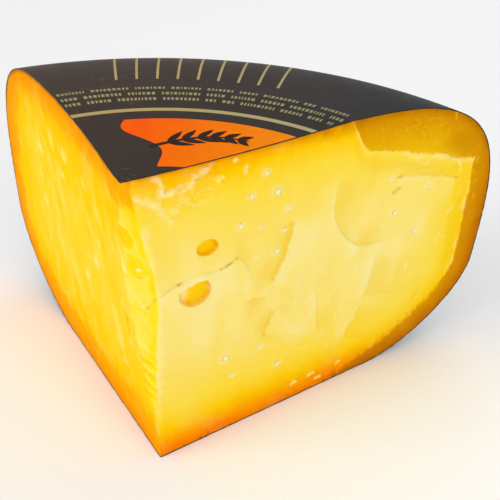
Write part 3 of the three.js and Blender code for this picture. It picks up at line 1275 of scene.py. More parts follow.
@dataclass(frozen=True)
class PasteBody:
    """The cheese itself: both cuts with their relief, and the round side, which the coat covers."""

    wedge: Wedge = Wedge()
    bevel: Bevel = Bevel()
    rims: Rims = Rims()
    brown_edge: BrownEdge = BrownEdge()
    out_steps: int = 232
    up_steps: int = 182
    round_columns: int = 16
    stretch: float = 0.22
    inset: float = 0.3
    calm_rim: float = 1.4  # the relief fades over this distance from the rind
    calm_corner: float = 1.2  # and over this one from the front corner
    rim_extra: float = 6.5  # how much deeper than it is the right cut's top counts, for its colour
    corner_extra: float = 6.0  # and the left cut's, which fades with the way from the front corner
    corner_reach: float = 30.0
    extra_climb: Point = (60.0, 50.0)  # the height at which both start, and how much higher they are whole

    def build(self, maker: Maker) -> tuple[bpy.types.Object, dict[Side, Array]]:
        """Makes the paste and returns it with the points of its two cuts."""
        outline = Outline(self.wedge, self.out_steps, self.up_steps, self.out_steps, self.stretch)
        rows = outline.rows(self.inset, 0.0)
        rims = outline.rims(rows, 0.0)
        cuts = {side: self.cut(side, rows, rims[side][0]) for side in Side}
        grids = {side: self.points(surface) for side, surface in cuts.items()}
        front = (grids[Side.LEFT][0] + grids[Side.RIGHT][0]) / 2.0
        for side, surface in cuts.items():
            grids[side][0] = front
            grids[side] = self.bevel.apply(self.wedge, surface, grids[side])
        side_grid = outline.between(rims, self.round_columns)
        side_grid[:, 0] = self.around(grids[Side.RIGHT])
        side_grid[:, -1] = self.around(grids[Side.LEFT])
        parts = [
            Faces.grid(self.wedge.sagged(grids[Side.LEFT]), values=cuts[Side.LEFT].numbers),
            Faces.grid(self.wedge.sagged(grids[Side.RIGHT]), True, cuts[Side.RIGHT].numbers),
            Faces.grid(
                self.wedge.sagged(side_grid),
                values={name: np.zeros(side_grid.shape[:2]) for name in cuts[Side.LEFT].numbers},
            ),
        ]
        piece = maker.piece("cheese_paste", Faces.joined(parts), sharp_degrees=70.0)
        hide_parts(NODE)
        return piece, {side: self.wedge.sagged(grid) for side, grid in grids.items()}

    @staticmethod
    def around(grid: Array) -> Array:
        """The points of a cut's grid that lie on the outline, from the corner's foot round to its top."""
        return np.vstack([grid[:, 0], grid[-1, 1:], grid[::-1, -1][1:]])

    def cut(self, side: Side, rows: Array, along: Array) -> Surface:
        """One cut's surface, with all of its relief and colours.

        The grid fills the outline by transfinite interpolation: each point is the sum of the two even
        blends between opposite edges, less the even blend of the four corners.
        """
        edge = np.stack([along, rows[:, 1]], axis=1)
        floor = edge[: self.out_steps + 1]
        wall = edge[self.out_steps : self.out_steps + self.up_steps + 1]
        roof = edge[self.out_steps + self.up_steps :][::-1]
        heights = np.linspace(rows[0, 1], rows[-1, 1], self.up_steps + 1)
        front = np.stack([self.wedge.front(heights, np.zeros_like(heights))[side], heights], axis=1)
        u = np.linspace(0.0, 1.0, self.out_steps + 1)[:, None, None]
        v = np.linspace(0.0, 1.0, self.up_steps + 1)[None, :, None]
        grid = (1 - v) * floor[:, None] + v * roof[:, None] + (1 - u) * front[None] + u * wall[None]
        grid -= (1 - u) * (1 - v) * floor[0] + u * (1 - v) * floor[-1]
        grid -= (1 - u) * v * roof[0] + u * v * roof[-1]
        depth = np.abs(beside(grid[..., 0], grid[..., 1], edge[::4]).signed)
        zeros = np.zeros(grid.shape[:2])
        numbers = {name: zeros for name in NUMBERS}
        surface = Surface(side, grid[..., 0], grid[..., 1], zeros.copy(), depth, numbers)
        self.relief(surface)
        return surface

    def relief(self, surface: Surface) -> None:
        """Adds the tears, ridges, blotches, eyes and fine unevenness to a cut."""
        right = surface.side is Side.RIGHT
        tears, eyes = (RIGHT_TEARS, EYES) if right else ((), ())
        for feature in (*tears, *eyes):
            feature.snap(surface)
        for tear in tears:
            tear.apply(surface)
        for seed, blotch in enumerate(RIGHT_BLOTCHES if right else LEFT_BLOTCHES):
            blotch.apply(surface, 400 + 7 * seed)
        for seed, ridge in enumerate(RIGHT_RIDGES if right else LEFT_RIDGES):
            ridge.apply(surface, 900 + 11 * seed)
        for seed, web in enumerate(RIGHT_WEBS if right else LEFT_WEBS):
            web.apply(surface, 1300 + 13 * seed)
        self.crystal_halos(surface)
        self.fine_relief(surface)
        self.rims.apply(surface)
        self.brown_edge.apply(surface)
        from_corner = surface.along - surface.along[0]
        surface.out *= smooth(surface.depth / self.calm_rim) * smooth(from_corner / self.calm_corner)
        for eye in eyes:
            eye.apply(surface)
        surface.out += self.wedge.cuts[surface.side].swell(surface.along, surface.height)
        surface.numbers["depth"] = self.colour_depth(surface)
        surface.numbers["right"] = np.full_like(surface.along, 1.0 if right else 0.0)

    @staticmethod
    def fine_relief(surface: Surface) -> None:
        """Adds fine unevenness: even on the right cut, and in tall, leaning grains on the left one."""
        if surface.side is Side.RIGHT:
            surface.out += 0.10 * surface.noise(9.0, 11) + 0.05 * surface.noise(2.2, 21)
            surface.add("pale", 0.10 * surface.noise(14.0, 31))
            return
        lean = surface.along + 0.18 * surface.height
        surface.out += 0.22 * rough_noise(lean, surface.height / 1.8, 6.0, 12)
        surface.out += 0.08 * rough_noise(lean, surface.height / 1.5, 2.4, 22)
        surface.add("pale", 0.22 * rough_noise(lean, surface.height / 1.5, 6.0, 32))

    def colour_depth(self, surface: Surface) -> Array:
        """The depth that a cut's colours go by: a place high up counts as deeper than it lies."""
        near_corner = 1.0 - smooth(surface.along / self.corner_reach)
        extra = self.rim_extra if surface.side is Side.RIGHT else self.corner_extra * near_corner
        return surface.depth + extra * ramp(surface.height, *self.extra_climb)

    @staticmethod
    def crystal_halos(surface: Surface) -> None:
        """Lightens the paste round each crystal."""
        for seed, (side, along, height, size) in enumerate(crystal_places()):
            if side is surface.side:
                Blotch(along, height, 2.0 * size, 1.6 * size, 10, 0.55, 0.12).apply(surface, 1500 + seed)

    def points(self, surface: Surface) -> Array:
        """The points of a cut's surface in the wheel's frame."""
        return self.wedge.place(surface.side, surface.along, surface.height, surface.out)


# ---------------------------------------------------------------- the coat


@dataclass(frozen=True)
class RindCoat:
    """The thin black coat over the top, the side and the bottom, with a ragged edge at the cuts."""

    wedge: Wedge = Wedge()
    out_steps: int = 150
    side_steps: int = 110
    columns: int = 90
    thickness: float = 0.35
    proud: float = 0.06
    ragged: float = 0.14

    def build(self, maker: Maker) -> bpy.types.Object:
        """Makes the coat: a closed shell between the wheel's surface and one a little inside it."""
        outline = Outline(self.wedge, self.out_steps, self.side_steps, self.out_steps)
        walls = []
        for inset in (0.0, self.thickness):
            rows = outline.rows(inset, self.proud)
            run = np.arange(len(rows), dtype=float)
            overhang = self.proud + self.ragged * (0.5 + 0.5 * rough_noise(run, run, 2.5, 81))
            overhang[[0, -1]] = self.proud
            walls.append(self.wedge.sagged(outline.between(outline.rims(rows, overhang), self.columns)))
        piece = maker.piece("rind_coat", Faces.slab(*walls), sharp_degrees=50.0)
        return piece


# ---------------------------------------------------------------- the label


@dataclass(frozen=True)
class Label:
    """The print on the top: a ring, cutting marks over the shoulder, rows of bars and an orange field."""

    wedge: Wedge = Wedge()
    lift: float = 0.05
    sunk: float = 0.06
    ring_radius: float = 82.0
    ring_width: float = 2.2
    mark_start: float = 108.1
    mark_run: float = 66.0
    mark_width: float = 1.0
    mark_first: float = 118.1
    mark_step: float = -4.142
    mark_count: int = 9
    mark_drift: float = -0.038  # turn per millimetre of the first mark's way outwards, in degrees
    mark_drift_step: float = 0.0105
    row_radii: tuple[float, ...] = (99.0, 94.4, 90.2)
    bar_height: float = 1.9
    bar_widths: Point = (0.5, 1.3)
    bar_gap: float = 0.6
    group_gap: float = 1.9
    field_start: float = 42.0
    field_radius: float = 75.2
    field_rows: int = 60
    field_columns: int = 81
    stem_start: Point = (-22.0, 51.0)
    stem_span: Point = (31.0, 13.0)
    stem_bow: float = 5.0
    leaf_pairs: int = 6
    leaf_turn: float = 34.0
    leaf_length: float = 9.5
    leaf_shrink: float = 0.7
    leaf_half_width: float = 1.25

    def crown(self, radius: Array, turn: Array, lift: float) -> Array:
        """Points above the top at radii and turns in degrees, on the dish or on the shoulder."""
        arc = self.wedge.wheel.upper_arc(90, 20)
        on_arc = np.interp(radius, arc[:, 0], arc[:, 1])
        height = np.where(radius < arc[0, 0], self.wedge.wheel.top_height(radius), on_arc) + lift
        angle = np.radians(turn)
        points = np.stack([radius * np.cos(angle), radius * np.sin(angle), height], axis=-1)
        return self.wedge.sagged(points)

    def rim_turn(self, side: Side, radius: Array) -> Array:
        """The turn in degrees at which a cut's edge crosses each radius of the top."""
        height = self.wedge.wheel.top_height(np.asarray(radius, float))
        along = self.wedge.rim(side, radius, height, np.zeros_like(height))
        point = self.wedge.place(side, along, height, self.wedge.cuts[side].swell(along, height))
        return np.degrees(np.arctan2(point[..., 1], point[..., 0]))

    def sheet(self, radius: Array, turn: Array) -> Faces:
        """A thin closed sheet of print over a grid of radii and turns."""
        return Faces.slab(self.crown(radius, turn, self.lift), self.crown(radius, turn, -self.sunk))

    def build(self, maker: Maker) -> dict[str, bpy.types.Object]:
        """Makes all of the label's prints."""
        pieces = {
            "ring": maker.piece("gold_ring", self.ring(), 50.0),
            "marks": maker.piece("gold_marks", self.marks(), 50.0),
            "bars": maker.piece("gold_bars", self.bars(), 50.0),
            "field": maker.piece("orange_field", self.orange(), 50.0),
            "sprig": maker.piece("black_sprig", self.sprig(), 50.0),
        }
        return pieces

    def ring(self) -> Faces:
        """The gold ring from cut to cut."""
        radius = self.ring_radius + self.ring_width * np.array([-0.5, -0.17, 0.17, 0.5])
        share = np.linspace(0.0, 1.0, 121)
        first, last = self.rim_turn(Side.RIGHT, radius), self.rim_turn(Side.LEFT, radius)
        turn = first[:, None] * (1 - share) + last[:, None] * share
        return self.sheet(np.broadcast_to(radius[:, None], turn.shape), turn)

    def marks(self) -> Faces:
        """The cutting marks: straight radial strokes that run out over the shoulder."""
        wheel = self.wedge.wheel
        path = np.vstack([wheel.dish(80.0, wheel.shoulder_radius)[:-1], wheel.upper_arc(90, 0)])
        steps = np.hypot(*np.diff(path, axis=0).T)
        run = np.concatenate([[0.0], np.cumsum(steps)])
        start = np.interp(self.mark_start, path[:, 0], run)
        at = start + np.linspace(0.0, self.mark_run, 40)
        ways = headings(path)
        middle = np.stack([np.interp(at, run, path[:, 0]), np.interp(at, run, path[:, 1])], axis=1)
        up = np.stack([np.interp(at, run, -ways[:, 1]), np.interp(at, run, ways[:, 0])], axis=1)
        strokes = []
        for index in range(self.mark_count):
            drift = self.mark_drift + index * self.mark_drift_step
            turn = self.mark_first + index * self.mark_step + drift * (middle[:, 0] - self.mark_start)
            turn = np.radians(turn)[:, None]
            walls = []
            for lift in (self.lift, -self.sunk):
                radius = (middle[:, 0] + up[:, 0] * lift)[:, None]
                height = middle[:, 1] + up[:, 1] * lift
                aside = self.mark_width * np.array([-0.5, 0.0, 0.5])
                x = radius * np.cos(turn) - aside * np.sin(turn)
                y = radius * np.sin(turn) + aside * np.cos(turn)
                points = np.stack([x, y, np.broadcast_to(height[:, None], x.shape)], axis=-1)
                walls.append(self.wedge.sagged(points))
            strokes.append(Faces.slab(*walls))
        return Faces.joined(strokes)

    def bars(self) -> Faces:
        """Rows of small upright bars in groups of three to ten, in place of small print."""
        rng = np.random.default_rng(5)
        sheets = []
        margin = 0.6  # degrees left free at each end of a row
        for radius in self.row_radii:
            low = float(self.rim_turn(Side.RIGHT, np.array(radius))) + margin
            high = float(self.rim_turn(Side.LEFT, np.array(radius))) - margin
            turn = high
            while turn > low:
                for _ in range(int(rng.integers(3, 11))):
                    width = math.degrees(rng.uniform(*self.bar_widths) / radius)
                    if turn - width < low:
                        break
                    radii = radius + self.bar_height * np.array([-0.5, 0.5])
                    turns = np.array([turn - width, turn])
                    grid = np.meshgrid(radii, turns, indexing="ij")
                    sheets.append(self.sheet(*grid))
                    turn -= width + math.degrees(self.bar_gap / radius)
                turn -= math.degrees(self.group_gap / radius)
        return Faces.joined(sheets)

    def hill(self, radius: Array) -> Array:
        """Turn of the dark hill's edge at each radius: it swings from the ring down to the right cut."""
        share = (self.field_radius - radius) / (self.field_radius - self.field_start)
        return 119.0 - 10.0 * smooth(share) + 2.5 * np.sin(2.4 * math.pi * share)

    def orange(self) -> Faces:
        """The orange field: from the right cut's edge to the hill's, out to the field's round edge."""
        radius = np.linspace(self.field_start, self.field_radius, self.field_rows)[:, None]
        share = np.linspace(0.0, 1.0, self.field_columns)[None]
        first = self.rim_turn(Side.RIGHT, radius[:, 0])[:, None]
        last = np.maximum(self.hill(radius), first + 0.05)
        turn = first * (1 - share) + last * share
        return self.sheet(np.broadcast_to(radius, turn.shape), turn)

    def sprig(self) -> Faces:
        """A plain sprig of leaves on the orange field: a bent stem with pairs of pointed leaves."""
        share = np.linspace(0.0, 1.0, 40)
        stem_x = self.stem_start[0] + self.stem_span[0] * share
        stem_y = self.stem_start[1] + self.stem_span[1] * share + self.stem_bow * np.sin(math.pi * share)
        shapes = [self.stroke(stem_x, stem_y, 0.55 * (1.1 - share) + 0.25)]
        along_leaf = np.linspace(0.0, 1.0, 16)
        for pair in range(self.leaf_pairs):
            at = int(6 + pair * 5.6)
            way = math.atan2(stem_y[at] - stem_y[at - 1], stem_x[at] - stem_x[at - 1])
            for hand in (-1.0, 1.0):
                turn = way + hand * math.radians(self.leaf_turn)
                run = (self.leaf_length - self.leaf_shrink * pair) * along_leaf
                width = self.leaf_half_width * np.sin(math.pi * along_leaf**0.8)
                x, y = stem_x[at] + run * math.cos(turn), stem_y[at] + run * math.sin(turn)
                shapes.append(self.stroke(x, y, width))
        return Faces.joined(shapes)

    def stroke(self, x: Array, y: Array, half_width: Array) -> Faces:
        """A flat stroke of changing width along a line on the top."""
        way = headings(np.stack([x, y], axis=1))
        aside = np.array([-1.0, 0.0, 1.0])[None] * (half_width[:, None] + 0.02)
        across_x = x[:, None] - way[:, 1:] * aside
        across_y = y[:, None] + way[:, :1] * aside
        radius = np.hypot(across_x, across_y)
        turn = np.degrees(np.arctan2(across_y, across_x))
        return Faces.slab(
            self.crown(radius, turn, 2.2 * self.lift), self.crown(radius, turn, -0.5 * self.sunk)
        )


# ---------------------------------------------------------------- crystals


@dataclass(frozen=True)
class Grains:
    """Small lumps that sit half sunk in the cuts, such as white crystals."""

    name: str
    slot: str
    places: tuple[tuple[Side, float, float, float], ...]
    flat: float
    seed: int

    UP, ROUND = 8, 12  # the steps of a lump from its top to its bottom, and round it

    def build(self, maker: Maker, wedge: Wedge, surfaces: dict[Side, Array]) -> bpy.types.Object:
        """Makes the lumps: each is a lens with its points moved in and out at random.

        Args:
            maker: Turns the faces into a piece.
            wedge: Gives the cuts' directions.
            surfaces: The points of the two finished cuts.

        Returns:
            One piece with all of the lumps.
        """
        rng = np.random.default_rng(self.seed)
        lumps = []
        for side, along, height, size in self.places:
            target = wedge.place(side, np.array(along), np.array(height), np.array(0.0))
            grid = surfaces[side].reshape(-1, 3)
            middle = grid[np.argmin(((grid - target) ** 2).sum(axis=1))]
            forward, out = wedge.directions(side, np.array(height))
            polar = np.linspace(0.0, math.pi, self.UP + 1)[:, None]
            around = np.linspace(0.0, 2.0 * math.pi, self.ROUND + 1)[None, :]
            wobble = 1.0 + rng.uniform(-0.25, 0.25, (self.UP + 1, self.ROUND))
            wobble = np.concatenate([wobble, wobble[:, :1]], axis=1)
            wobble[[0, -1]] = 1.0
            a = size * wobble * np.sin(polar) * np.cos(around) * rng.uniform(0.8, 1.25)
            b = size * wobble * np.sin(polar) * np.sin(around)
            c = self.flat * size * wobble * np.cos(polar) ** 3
            flat_part = a[..., None] * forward + c[..., None] * out
            points = np.concatenate([flat_part, b[..., None]], axis=-1) + middle
            points[..., :2] += 0.03 * size * out
            lumps.append(Faces.grid(points))
        piece = maker.piece(self.name, Faces.joined(lumps))
        return piece


# ---------------------------------------------------------------- finishes


def linear(hex_colour: str) -> tuple[float, float, float, float]:
    """An sRGB hex colour such as "#ffcc00" as linear red, green, blue and 1."""
    shares = [int(hex_colour[at : at + 2], 16) / 255.0 for at in (1, 3, 5)]
    red, green, blue = (s / 12.92 if s <= 0.04045 else ((s + 0.055) / 1.055) ** 2.4 for s in shares)
    return red, green, blue, 1.0


def per_metre(size_mm: float) -> float:
    """The noise scale whose pattern is about this many millimetres wide."""
    return 1.0 / (size_mm * MM)


Tree, Node, Socket = bpy.types.NodeTree, bpy.types.Node, bpy.types.NodeSocket
Inputs = dict[str | int, object]
MIX_A, MIX_B, MIX_RESULT = 6, 7, 2  # the colour sockets of a Mix node


def fill(tree: Tree, node: Node, inputs: Inputs) -> None:
    """Sets each named or numbered socket of a node to a value, or links it to another socket."""
    for key, value in inputs.items():
        if isinstance(value, Socket):
            tree.links.new(value, node.inputs[key])
        else:
            node.inputs[key].default_value = value


def add(
    tree: Tree,
    kind: str,
    inputs: Inputs | None = None,
    stops: Sequence[tuple[float, str]] = (),
    **settings: object,
) -> Node:
    """Adds a node to a material.

    Args:
        tree: The material's node tree.
        kind: The node's type.
        inputs: Each named or numbered socket's value, or the socket to link it to.
        stops: The places and colours of a colour ramp.
        settings: The node's own settings.

    Returns:
        The new node.
    """
    node = tree.nodes.new(kind)
    for name, value in settings.items():
        setattr(node, name, value)
    fill(tree, node, inputs or {})
    if stops:
        elements = node.color_ramp.elements
        while len(elements) < len(stops):
            elements.new(1.0)
        for element, (place, colour) in zip(elements, stops):
            element.position = place
            element.color = linear(colour)
    return node


def mix(tree: Tree, factor: object, first: object, second: object, **how: object) -> Socket:
    """The blend of two colours by a factor."""
    inputs = {0: factor, MIX_A: first, MIX_B: second}
    return add(tree, "ShaderNodeMix", inputs, data_type="RGBA", **how).outputs[MIX_RESULT]


def maths(tree: Tree, kind: str, *numbers: object, clamped: bool = False) -> Socket:
    """The result of one kind of arithmetic on numbers or sockets."""
    inputs = dict(enumerate(numbers))
    return add(tree, "ShaderNodeMath", inputs, operation=kind, use_clamp=clamped).outputs[0]


def ranged(tree: Tree, value: Socket, source: Point, target: Point = (0.0, 1.0)) -> Socket:
    """A value whose way through the source range is stretched over the target range."""
    ends = {"From Min": source[0], "From Max": source[1], "To Min": target[0], "To Max": target[1]}
    return add(tree, "ShaderNodeMapRange", {"Value": value, **ends}).outputs[0]


def noise_node(tree: Tree, place: Socket, size_mm: float, detail: float, **more: float) -> Socket:
    """A noise from 0 to 1 whose pattern is about this many millimetres wide."""
    inputs = {"Vector": place, "Scale": per_metre(size_mm), "Detail": detail, **more}
    return add(tree, "ShaderNodeTexNoise", inputs).outputs[0]


def bumped(tree: Tree, height: Socket, strength: float, distance_mm: float) -> Socket:
    """A normal that a height field has tilted."""
    inputs = {"Height": height, "Strength": strength, "Distance": distance_mm * MM}
    return add(tree, "ShaderNodeBump", inputs).outputs[0]


def own_place(tree: Tree) -> Socket:
    """Each point's place in metres."""
    return add(tree, "ShaderNodeTexCoord").outputs["Object"]


def carried(tree: Tree, name: str) -> Socket:
    """A number that the piece's points carry."""
    return add(tree, "ShaderNodeAttribute", attribute_name=name).outputs["Fac"]


class Finish:
    """A material made of nodes."""

    name: str

    def material(self) -> bpy.types.Material:
        """Makes the material and its shader, and lets the finish dress them."""
        material = bpy.data.materials.new(self.name)
        material.use_nodes = True
        tree = material.node_tree
        tree.nodes.clear()
        shader = add(tree, "ShaderNodeBsdfPrincipled")
        add(tree, "ShaderNodeOutputMaterial", {"Surface": shader.outputs[0]})
        self.dress(tree, shader)
        return material

    def dress(self, tree: Tree, shader: Node) -> None:
        """Adds the finish's own nodes to the shader."""
        raise NotImplementedError


DEEPEST = 50.0  # depth in millimetres at the end of the paste's colour ramps


def by_depth(*stops: tuple[float, str]) -> list[tuple[float, str]]:
    """Colour ramp stops from depths in millimetres under the rind."""
    return [(depth / DEEPEST, colour) for depth, colour in stops]


@dataclass(frozen=True)
class AgedPaste(Finish):
    """Aged semi-hard cheese, broken and cut: waxy, a little see-through, deeper yellow near the rind."""

    name: str = "aged cheese paste"
    right_core: tuple = ((2, "#fb8000"), (7, "#fba600"), (13, "#fbca08"), (21, "#fad83c"), (48, "#f7e078"))
    right_band: tuple = ((1, "#b96a02"), (6, "#cb8102"), (15, "#dda002"), (28, "#efc010"))
    left_core: tuple = ((2, "#f99300"), (7, "#fda800"), (14, "#fdc200"), (28, "#fdcc0c"), (48, "#fdd22c"))
    left_band: tuple = ((1, "#f98e00"), (8, "#ffa200"), (30, "#ffb800"))
    right_pale: str = "#f8e9a8"
    left_pale: str = "#ffe678"
    rim_pale: str = "#f7cc2c"
    right_crumb: str = "#fae98e"
    left_crumb: str = "#fff0a0"
    rim_crumb: str = "#e6a816"
    crumb_share: float = 0.65
    # the deeper yellow of sunk places, partly the paste's own tone and partly painted shade
    deep: str = "#f2c400"
    brown: str = "#b06c00"
    corner: str = "#fbdc1c"
    seam: str = "#b88406"
    seam_half_mm: float = 0.48
    eye_wall: str = "#fdb400"
    eye_floor: str = "#ffd414"

    def dress(self, tree: Tree, shader: Node) -> None:
        """Colours by depth, side and tearing; waxy gloss, light inside, and a fine grain."""
        place = own_place(tree)
        grain = noise_node(tree, place, 2.5, 4.0)
        right = carried(tree, "right")
        band = self.broken(tree, carried(tree, "band"), place, 2.0, 3.5, (-0.8, 0.8))
        crumb = self.broken(tree, carried(tree, "crumb"), place, 0.9, 1.7, (0.4, 0.62))
        colour = self.body(tree, self.depth_share(tree, place, grain), right, band)
        colour = self.opened(tree, colour)
        colour = self.torn(tree, colour, right, band)
        colour = self.crumbs(tree, colour, right, band, crumb)
        colour = self.seams(tree, colour)
        height = maths(tree, "ADD", noise_node(tree, place, 0.9, 5.0), grain)
        height = maths(tree, "MULTIPLY_ADD", crumb, 1.5, height)
        inputs = {
            "Base Color": colour,
            "Roughness": 0.55,
            "Specular IOR Level": 0.004,
            "Subsurface Weight": 0.25,
            "Subsurface Radius": (0.004, 0.0025, 0.0008),
            "Subsurface Scale": 1.0,
            "Normal": bumped(tree, height, 0.2, 0.5),
        }
        fill(tree, shader, inputs)

    def depth_share(self, tree: Tree, place: Socket, grain: Socket) -> Socket:
        """The depth under the rind as a share of the ramps' deepest, moved to and fro by two noises."""
        cloud = noise_node(tree, place, 14, 3.0)
        wander = maths(tree, "MULTIPLY_ADD", grain, 3.0, -1.5)
        drift = maths(tree, "MULTIPLY_ADD", cloud, 6.0, -3.0)
        depth = maths(tree, "ADD", carried(tree, "depth"), wander)
        depth = maths(tree, "ADD", depth, drift)
        return maths(tree, "DIVIDE", depth, DEEPEST)

    def body(self, tree: Tree, share: Socket, right: Socket, band: Socket) -> Socket:
        """The yellow of both cuts by depth, their rims, and the golden front corner."""
        ramps = {
            name: add(tree, "ShaderNodeValToRGB", {"Fac": share}, by_depth(*getattr(self, name))).outputs[0]
            for name in ("right_core", "right_band", "left_core", "left_band")
        }
        on_right = mix(tree, band, ramps["right_core"], ramps["right_band"])
        on_left = mix(tree, band, ramps["left_core"], ramps["left_band"])
        golden = maths(tree, "MULTIPLY", carried(tree, "golden"), 0.85)
        return mix(tree, golden, mix(tree, right, on_left, on_right), linear(self.corner))

    def opened(self, tree: Tree, colour: Socket) -> Socket:
        """The eyes' own yellow, deeper on their walls than on their floors."""
        eye = carried(tree, "eye")
        stops = [(0.1, self.eye_wall), (1.0, self.eye_floor)]
        hole = add(tree, "ShaderNodeValToRGB", {"Fac": eye}, stops).outputs[0]
        return mix(tree, ranged(tree, eye, (0.05, 0.15)), colour, hole)

    def torn(self, tree: Tree, colour: Socket, right: Socket, band: Socket) -> Socket:
        """Paler where the paste was torn up and deeper yellow where it sank, partly painted highlight on
        raised crests and painted shade on sunk sides; and browned by its shade number, which holds browning
        under the coat, painted shade in the eyes and a painted shadow line under the coat's edge.
        """
        pale = carried(tree, "pale")
        cream = mix(tree, right, linear(self.left_pale), linear(self.right_pale))
        cream = mix(tree, band, cream, linear(self.rim_pale))
        # the pale number carries painted highlight on tear crests, and below 0 painted shade on their sunk
        # sides, besides the paste's own tone
        for strength, other in ((0.8, cream), (-0.8, linear(self.deep))):
            part = maths(tree, "MULTIPLY", pale, strength, clamped=True)
            colour = mix(tree, part, colour, other)
        # browning under the coat, plus painted shade in the eyes and a painted shadow line under the coat's
        # edge
        browning_and_shade = maths(tree, "MULTIPLY", carried(tree, "shade"), 1.0, clamped=True)
        return mix(tree, browning_and_shade, colour, linear(self.brown))

    def crumbs(
        self, tree: Tree, colour: Socket, right: Socket, band: Socket, crumb: Socket
    ) -> Socket:
        """Crisp crumbs, in the tone of the cut or the rim that they lie on."""
        tone = mix(tree, right, linear(self.left_crumb), linear(self.right_crumb))
        tone = mix(tree, band, tone, linear(self.rim_crumb))
        return mix(tree, maths(tree, "MULTIPLY", crumb, self.crumb_share), colour, tone)

    def seams(self, tree: Tree, colour: Socket) -> Socket:
        """Thin golden brown seams along the cracks, and along the short strokes that are painted small
        shadows.
        """
        gap = maths(tree, "ABSOLUTE", carried(tree, "seam"))
        line = ranged(tree, gap, (1.5 * self.seam_half_mm, 0.5 * self.seam_half_mm))
        drawn = maths(tree, "MULTIPLY", line, carried(tree, "seam_strength"))
        return mix(tree, drawn, colour, linear(self.seam))

    def broken(
        self, tree: Tree, field: Socket, place: Socket, size_mm: float, much: float, ends: Point
    ) -> Socket:
        """A mask with a broken edge: eased steps of a smooth field that noise has shifted.

        Args:
            tree: The material's node tree.
            field: The smooth field.
            place: The coordinates of the noise.
            size_mm: About how wide the noise's pattern is.
            much: How far the noise shifts the field.
            ends: The field's values at which the mask starts and is full.

        Returns:
            The mask, from 0 to 1.
        """
        noise = noise_node(tree, place, size_mm, 3.0)
        moved = maths(tree, "ADD", field, maths(tree, "MULTIPLY_ADD", noise, much, -0.5 * much))
        step = {"Value": moved, "From Min": ends[0], "From Max": ends[1]}
        return add(tree, "ShaderNodeMapRange", step, interpolation_type="SMOOTHSTEP").outputs[0]


@dataclass(frozen=True)
class PlasticCoat(Finish):
    """Black cheese coating, brushed on wet and dried: a satin skin with scuffs and a faint mottle."""

    name: str = "black cheese coating"
    warm: str = "#46362c"
    cool: str = "#171c1f"
    scuff: str = "#8f8880"
    half_width_mm: float = 90.0

    def dress(self, tree: Tree, shader: Node) -> None:
        """Warm black on the left to cool black on the right, which is painted light: lighter on the left,
        where the key light falls, and darker on the right with a painted bluish sheen; with fine pale
        scuffs.
        """
        place = own_place(tree)
        across = add(tree, "ShaderNodeSeparateXYZ", {0: place}).outputs[0]
        # painted light: the coat's colour shifts from the lit left to the darker right with its painted
        # bluish sheen
        toward_sheen_side = ranged(tree, across, (-self.half_width_mm * MM, self.half_width_mm * MM))
        colour = mix(tree, toward_sheen_side, linear(self.warm), linear(self.cool))
        mottle = noise_node(tree, place, 9, 5.0)
        shade = ranged(tree, mottle, (0.0, 1.0), (0.75, 1.3))
        colour = mix(tree, 1.0, colour, shade, blend_type="MULTIPLY")
        inputs = {
            "Base Color": mix(tree, self.scuffs(tree, place), colour, linear(self.scuff)),
            "Roughness": ranged(tree, mottle, (0.0, 1.0), (0.36, 0.56)),
            "Specular IOR Level": 0.07,
            "Normal": bumped(tree, mottle, 0.25, 0.4),
        }
        fill(tree, shader, inputs)

    def scuffs(self, tree: Tree, place: Socket) -> Socket:
        """Where scuffs lie: fine stretched hairs, inside broad patches."""
        turned = {"Vector": place, "Rotation": (0, 0, 0.5), "Scale": (1, 5, 1)}
        stretched = add(tree, "ShaderNodeMapping", turned).outputs[0]
        hairs = ranged(tree, noise_node(tree, stretched, 3.5, 6.0, Distortion=1.6), (0.62, 0.7))
        patches = ranged(tree, noise_node(tree, place, 30, 2.0), (0.5, 0.68))
        return maths(tree, "MULTIPLY", maths(tree, "MULTIPLY", hairs, patches), 0.7)


@dataclass(frozen=True)
class Ink(Finish):
    """Screen print on the coating: a thin satin film, a little uneven where it was laid on."""

    name: str
    near: str
    far: str
    spread_mm: float = 40.0
    centre_x_mm: float = 30.0

    def dress(self, tree: Tree, shader: Node) -> None:
        """One ink that shades into another across the top, with faint blotches."""
        place = own_place(tree)
        across = add(tree, "ShaderNodeSeparateXYZ", {0: place}).outputs[0]
        ends = ((self.centre_x_mm - self.spread_mm) * MM, (self.centre_x_mm + self.spread_mm) * MM)
        colour = mix(tree, ranged(tree, across, ends), linear(self.near), linear(self.far))
        shade = ranged(tree, noise_node(tree, place, 5, 4.0), (0.0, 1.0), (0.88, 1.12))
        colour = mix(tree, 1.0, colour, shade, blend_type="MULTIPLY")
        fill(tree, shader, {"Base Color": colour, "Roughness": 0.5, "Specular IOR Level": 0.02})


@dataclass(frozen=True)
class Crystal(Finish):
    """Tyrosine crystals of long ripening: chalky white grains, a little see-through."""

    name: str = "white crystals"
    light: str = "#fff4b4"
    dark: str = "#fdea98"

    def dress(self, tree: Tree, shader: Node) -> None:
        """Chalky white with a faint yellow mottle."""
        mottle = noise_node(tree, own_place(tree), 0.8, 3.0)
        inputs = {
            "Base Color": mix(tree, mottle, linear(self.light), linear(self.dark)),
            "Roughness": 0.6,
            "Subsurface Weight": 0.2,
            "Subsurface Radius": (0.001, 0.001, 0.0008),
            "Subsurface Scale": 1.0,
        }
        fill(tree, shader, inputs)


@dataclass(frozen=True)
class PaleFloor(Finish):
    """A plain matt table top."""

    name: str = "pale floor"
    colour: str = "#ffffff"

    def dress(self, tree: Tree, shader: Node) -> None:
        """An even pale colour."""
        fill(tree, shader, {"Base Color": linear(self.colour), "Roughness": 0.8})


def dress_with(piece: bpy.types.Object, finish: Finish) -> None:
    """Gives a piece a finish."""
    piece.data.materials.append(finish.material())


# ---------------------------------------------------------------- floor, lights and camera


